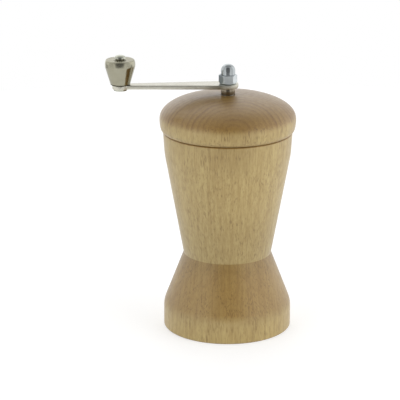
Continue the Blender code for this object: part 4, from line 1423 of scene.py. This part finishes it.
# Brightness by the side component of a direction, from -1 at the left to 1 at the right
FRONT_STOPS = (
    (-1.0, 0.84), (-0.80, 0.80), (-0.74, 0.92), (-0.62, 1.00), (-0.40, 0.94),
    (0.44, 0.95), (0.66, 1.00), (0.74, 0.95), (0.84, 0.82), (1.0, 0.90),
)
BACK_STOPS = (
    (-1.0, 0.90), (-0.80, 0.74), (-0.40, 1.12), (0.0, 1.00), (0.5, 0.76), (0.85, 1.06),
    (1.0, 1.04),
)
PEAK = 1.5
SLOT = 0.22
SLOT_SIDE = 0.60
SLOT_RISE = radians(16)
SLOT_REACH = radians(58)
SLOT_FADE = (0.70, 1.12)
FRONT_EDGE = 0.12
WALL_RISE = (radians(40), radians(66))
WALL_FALL = (1.24, 0.50)
FRONT_RISE = (radians(10), radians(55))
FRONT_FALL = (1.0, 0.80)
ZENITH = 0.46
ZENITH_RISE = (radians(56), radians(74))


def side_profile(shader, side, stops):
    """Brightness along the side component of a direction, eased between its stops."""
    share = shader.times(shader.plus(side, 1.0), 0.5)
    made = shader.node("ShaderNodeValToRGB", {"Fac": share})
    made.color_ramp.interpolation = "EASE"
    elements = made.color_ramp.elements
    for place, _ in stops[1:-1]:
        elements.new((place + 1) / 2)
    for element, (_, strength) in zip(elements, stops):
        element.color = (strength / PEAK,) * 3 + (1,)
    return shader.times(made.outputs["Color"], PEAK)


def make_world():
    """White walls, the dark room behind the camera, and a dim table at the left."""
    world = bpy.data.worlds.new("studio")
    bpy.context.scene.world = world
    shader = Shader(world, "Background")
    direction = shader.node("ShaderNodeTexCoord").outputs["Generated"]
    side, facing = bearings(shader, direction)
    rise = shader.math("ARCSINE", shader.split(direction)[2])
    across_slot = shader.math("DIVIDE", side, SLOT_SIDE)
    up_slot = shader.math("DIVIDE", shader.minus(rise, SLOT_RISE), SLOT_REACH)
    oval = shader.vector("LENGTH", shader.join(across_slot, up_slot))
    clear = shader.span(oval, *SLOT_FADE, SLOT, 1.0)
    clear = shader.times(clear, shader.span(rise, *FRONT_RISE, *FRONT_FALL))
    front = shader.times(side_profile(shader, side, FRONT_STOPS), clear)
    fall = shader.span(rise, *WALL_RISE, *WALL_FALL)
    back = shader.times(side_profile(shader, side, BACK_STOPS), fall)
    walls = shader.span(facing, -FRONT_EDGE, FRONT_EDGE, back, front)
    dim = shader.span(rise, *TABLE_RISE, TABLE_SHARE, 1.0)
    walls = shader.times(walls, dim_table(shader, side, facing, dim))
    studio = shader.span(rise, *ZENITH_RISE, walls, ZENITH)
    seen = shader.seen()
    strength = shader.plus(shader.times(studio, shader.minus(1.0, seen)), seen)
    shader.put(strength, shader.surface.inputs["Strength"])
    shader.put((1, 1, 1, 1), shader.surface.inputs["Color"])


SOFTBOX_DISTANCE = 1.6
SOFTBOX_SIZE = (1.4, 1.0)
SOFTBOX_AIM = Vector((0, 0, 0.07))

# Degrees round from the front, with 90 at the right, degrees up, and power
SOFTBOXES = {
    "left_softbox": (-50, 8, 11.8),
    "right_softbox": (55, 8, 16.6),
    "back_softbox": (172, 18, 6.0),
}


def make_lights():
    """Large softboxes turned towards the middle of the mill, which metal doesn't mirror."""
    for name, (azimuth, elevation, power) in SOFTBOXES.items():
        data = bpy.data.lights.new(name, "AREA")
        data.shape = "RECTANGLE"
        data.size, data.size_y = SOFTBOX_SIZE
        data.energy = power
        lamp = add_object(name, data)
        lamp.visible_glossy = False
        turn, lift = radians(azimuth), radians(elevation)
        direction = Vector((sin(turn) * cos(lift), -cos(turn) * cos(lift), sin(lift)))
        lamp.location = SOFTBOX_AIM + direction * SOFTBOX_DISTANCE
        lamp.rotation_euler = direction.to_track_quat("Z", "Y").to_euler()


make_pieces()
make_camera()
make_floor()
make_world()
make_lights()
bpy.context.scene.view_settings.view_transform = "Standard"
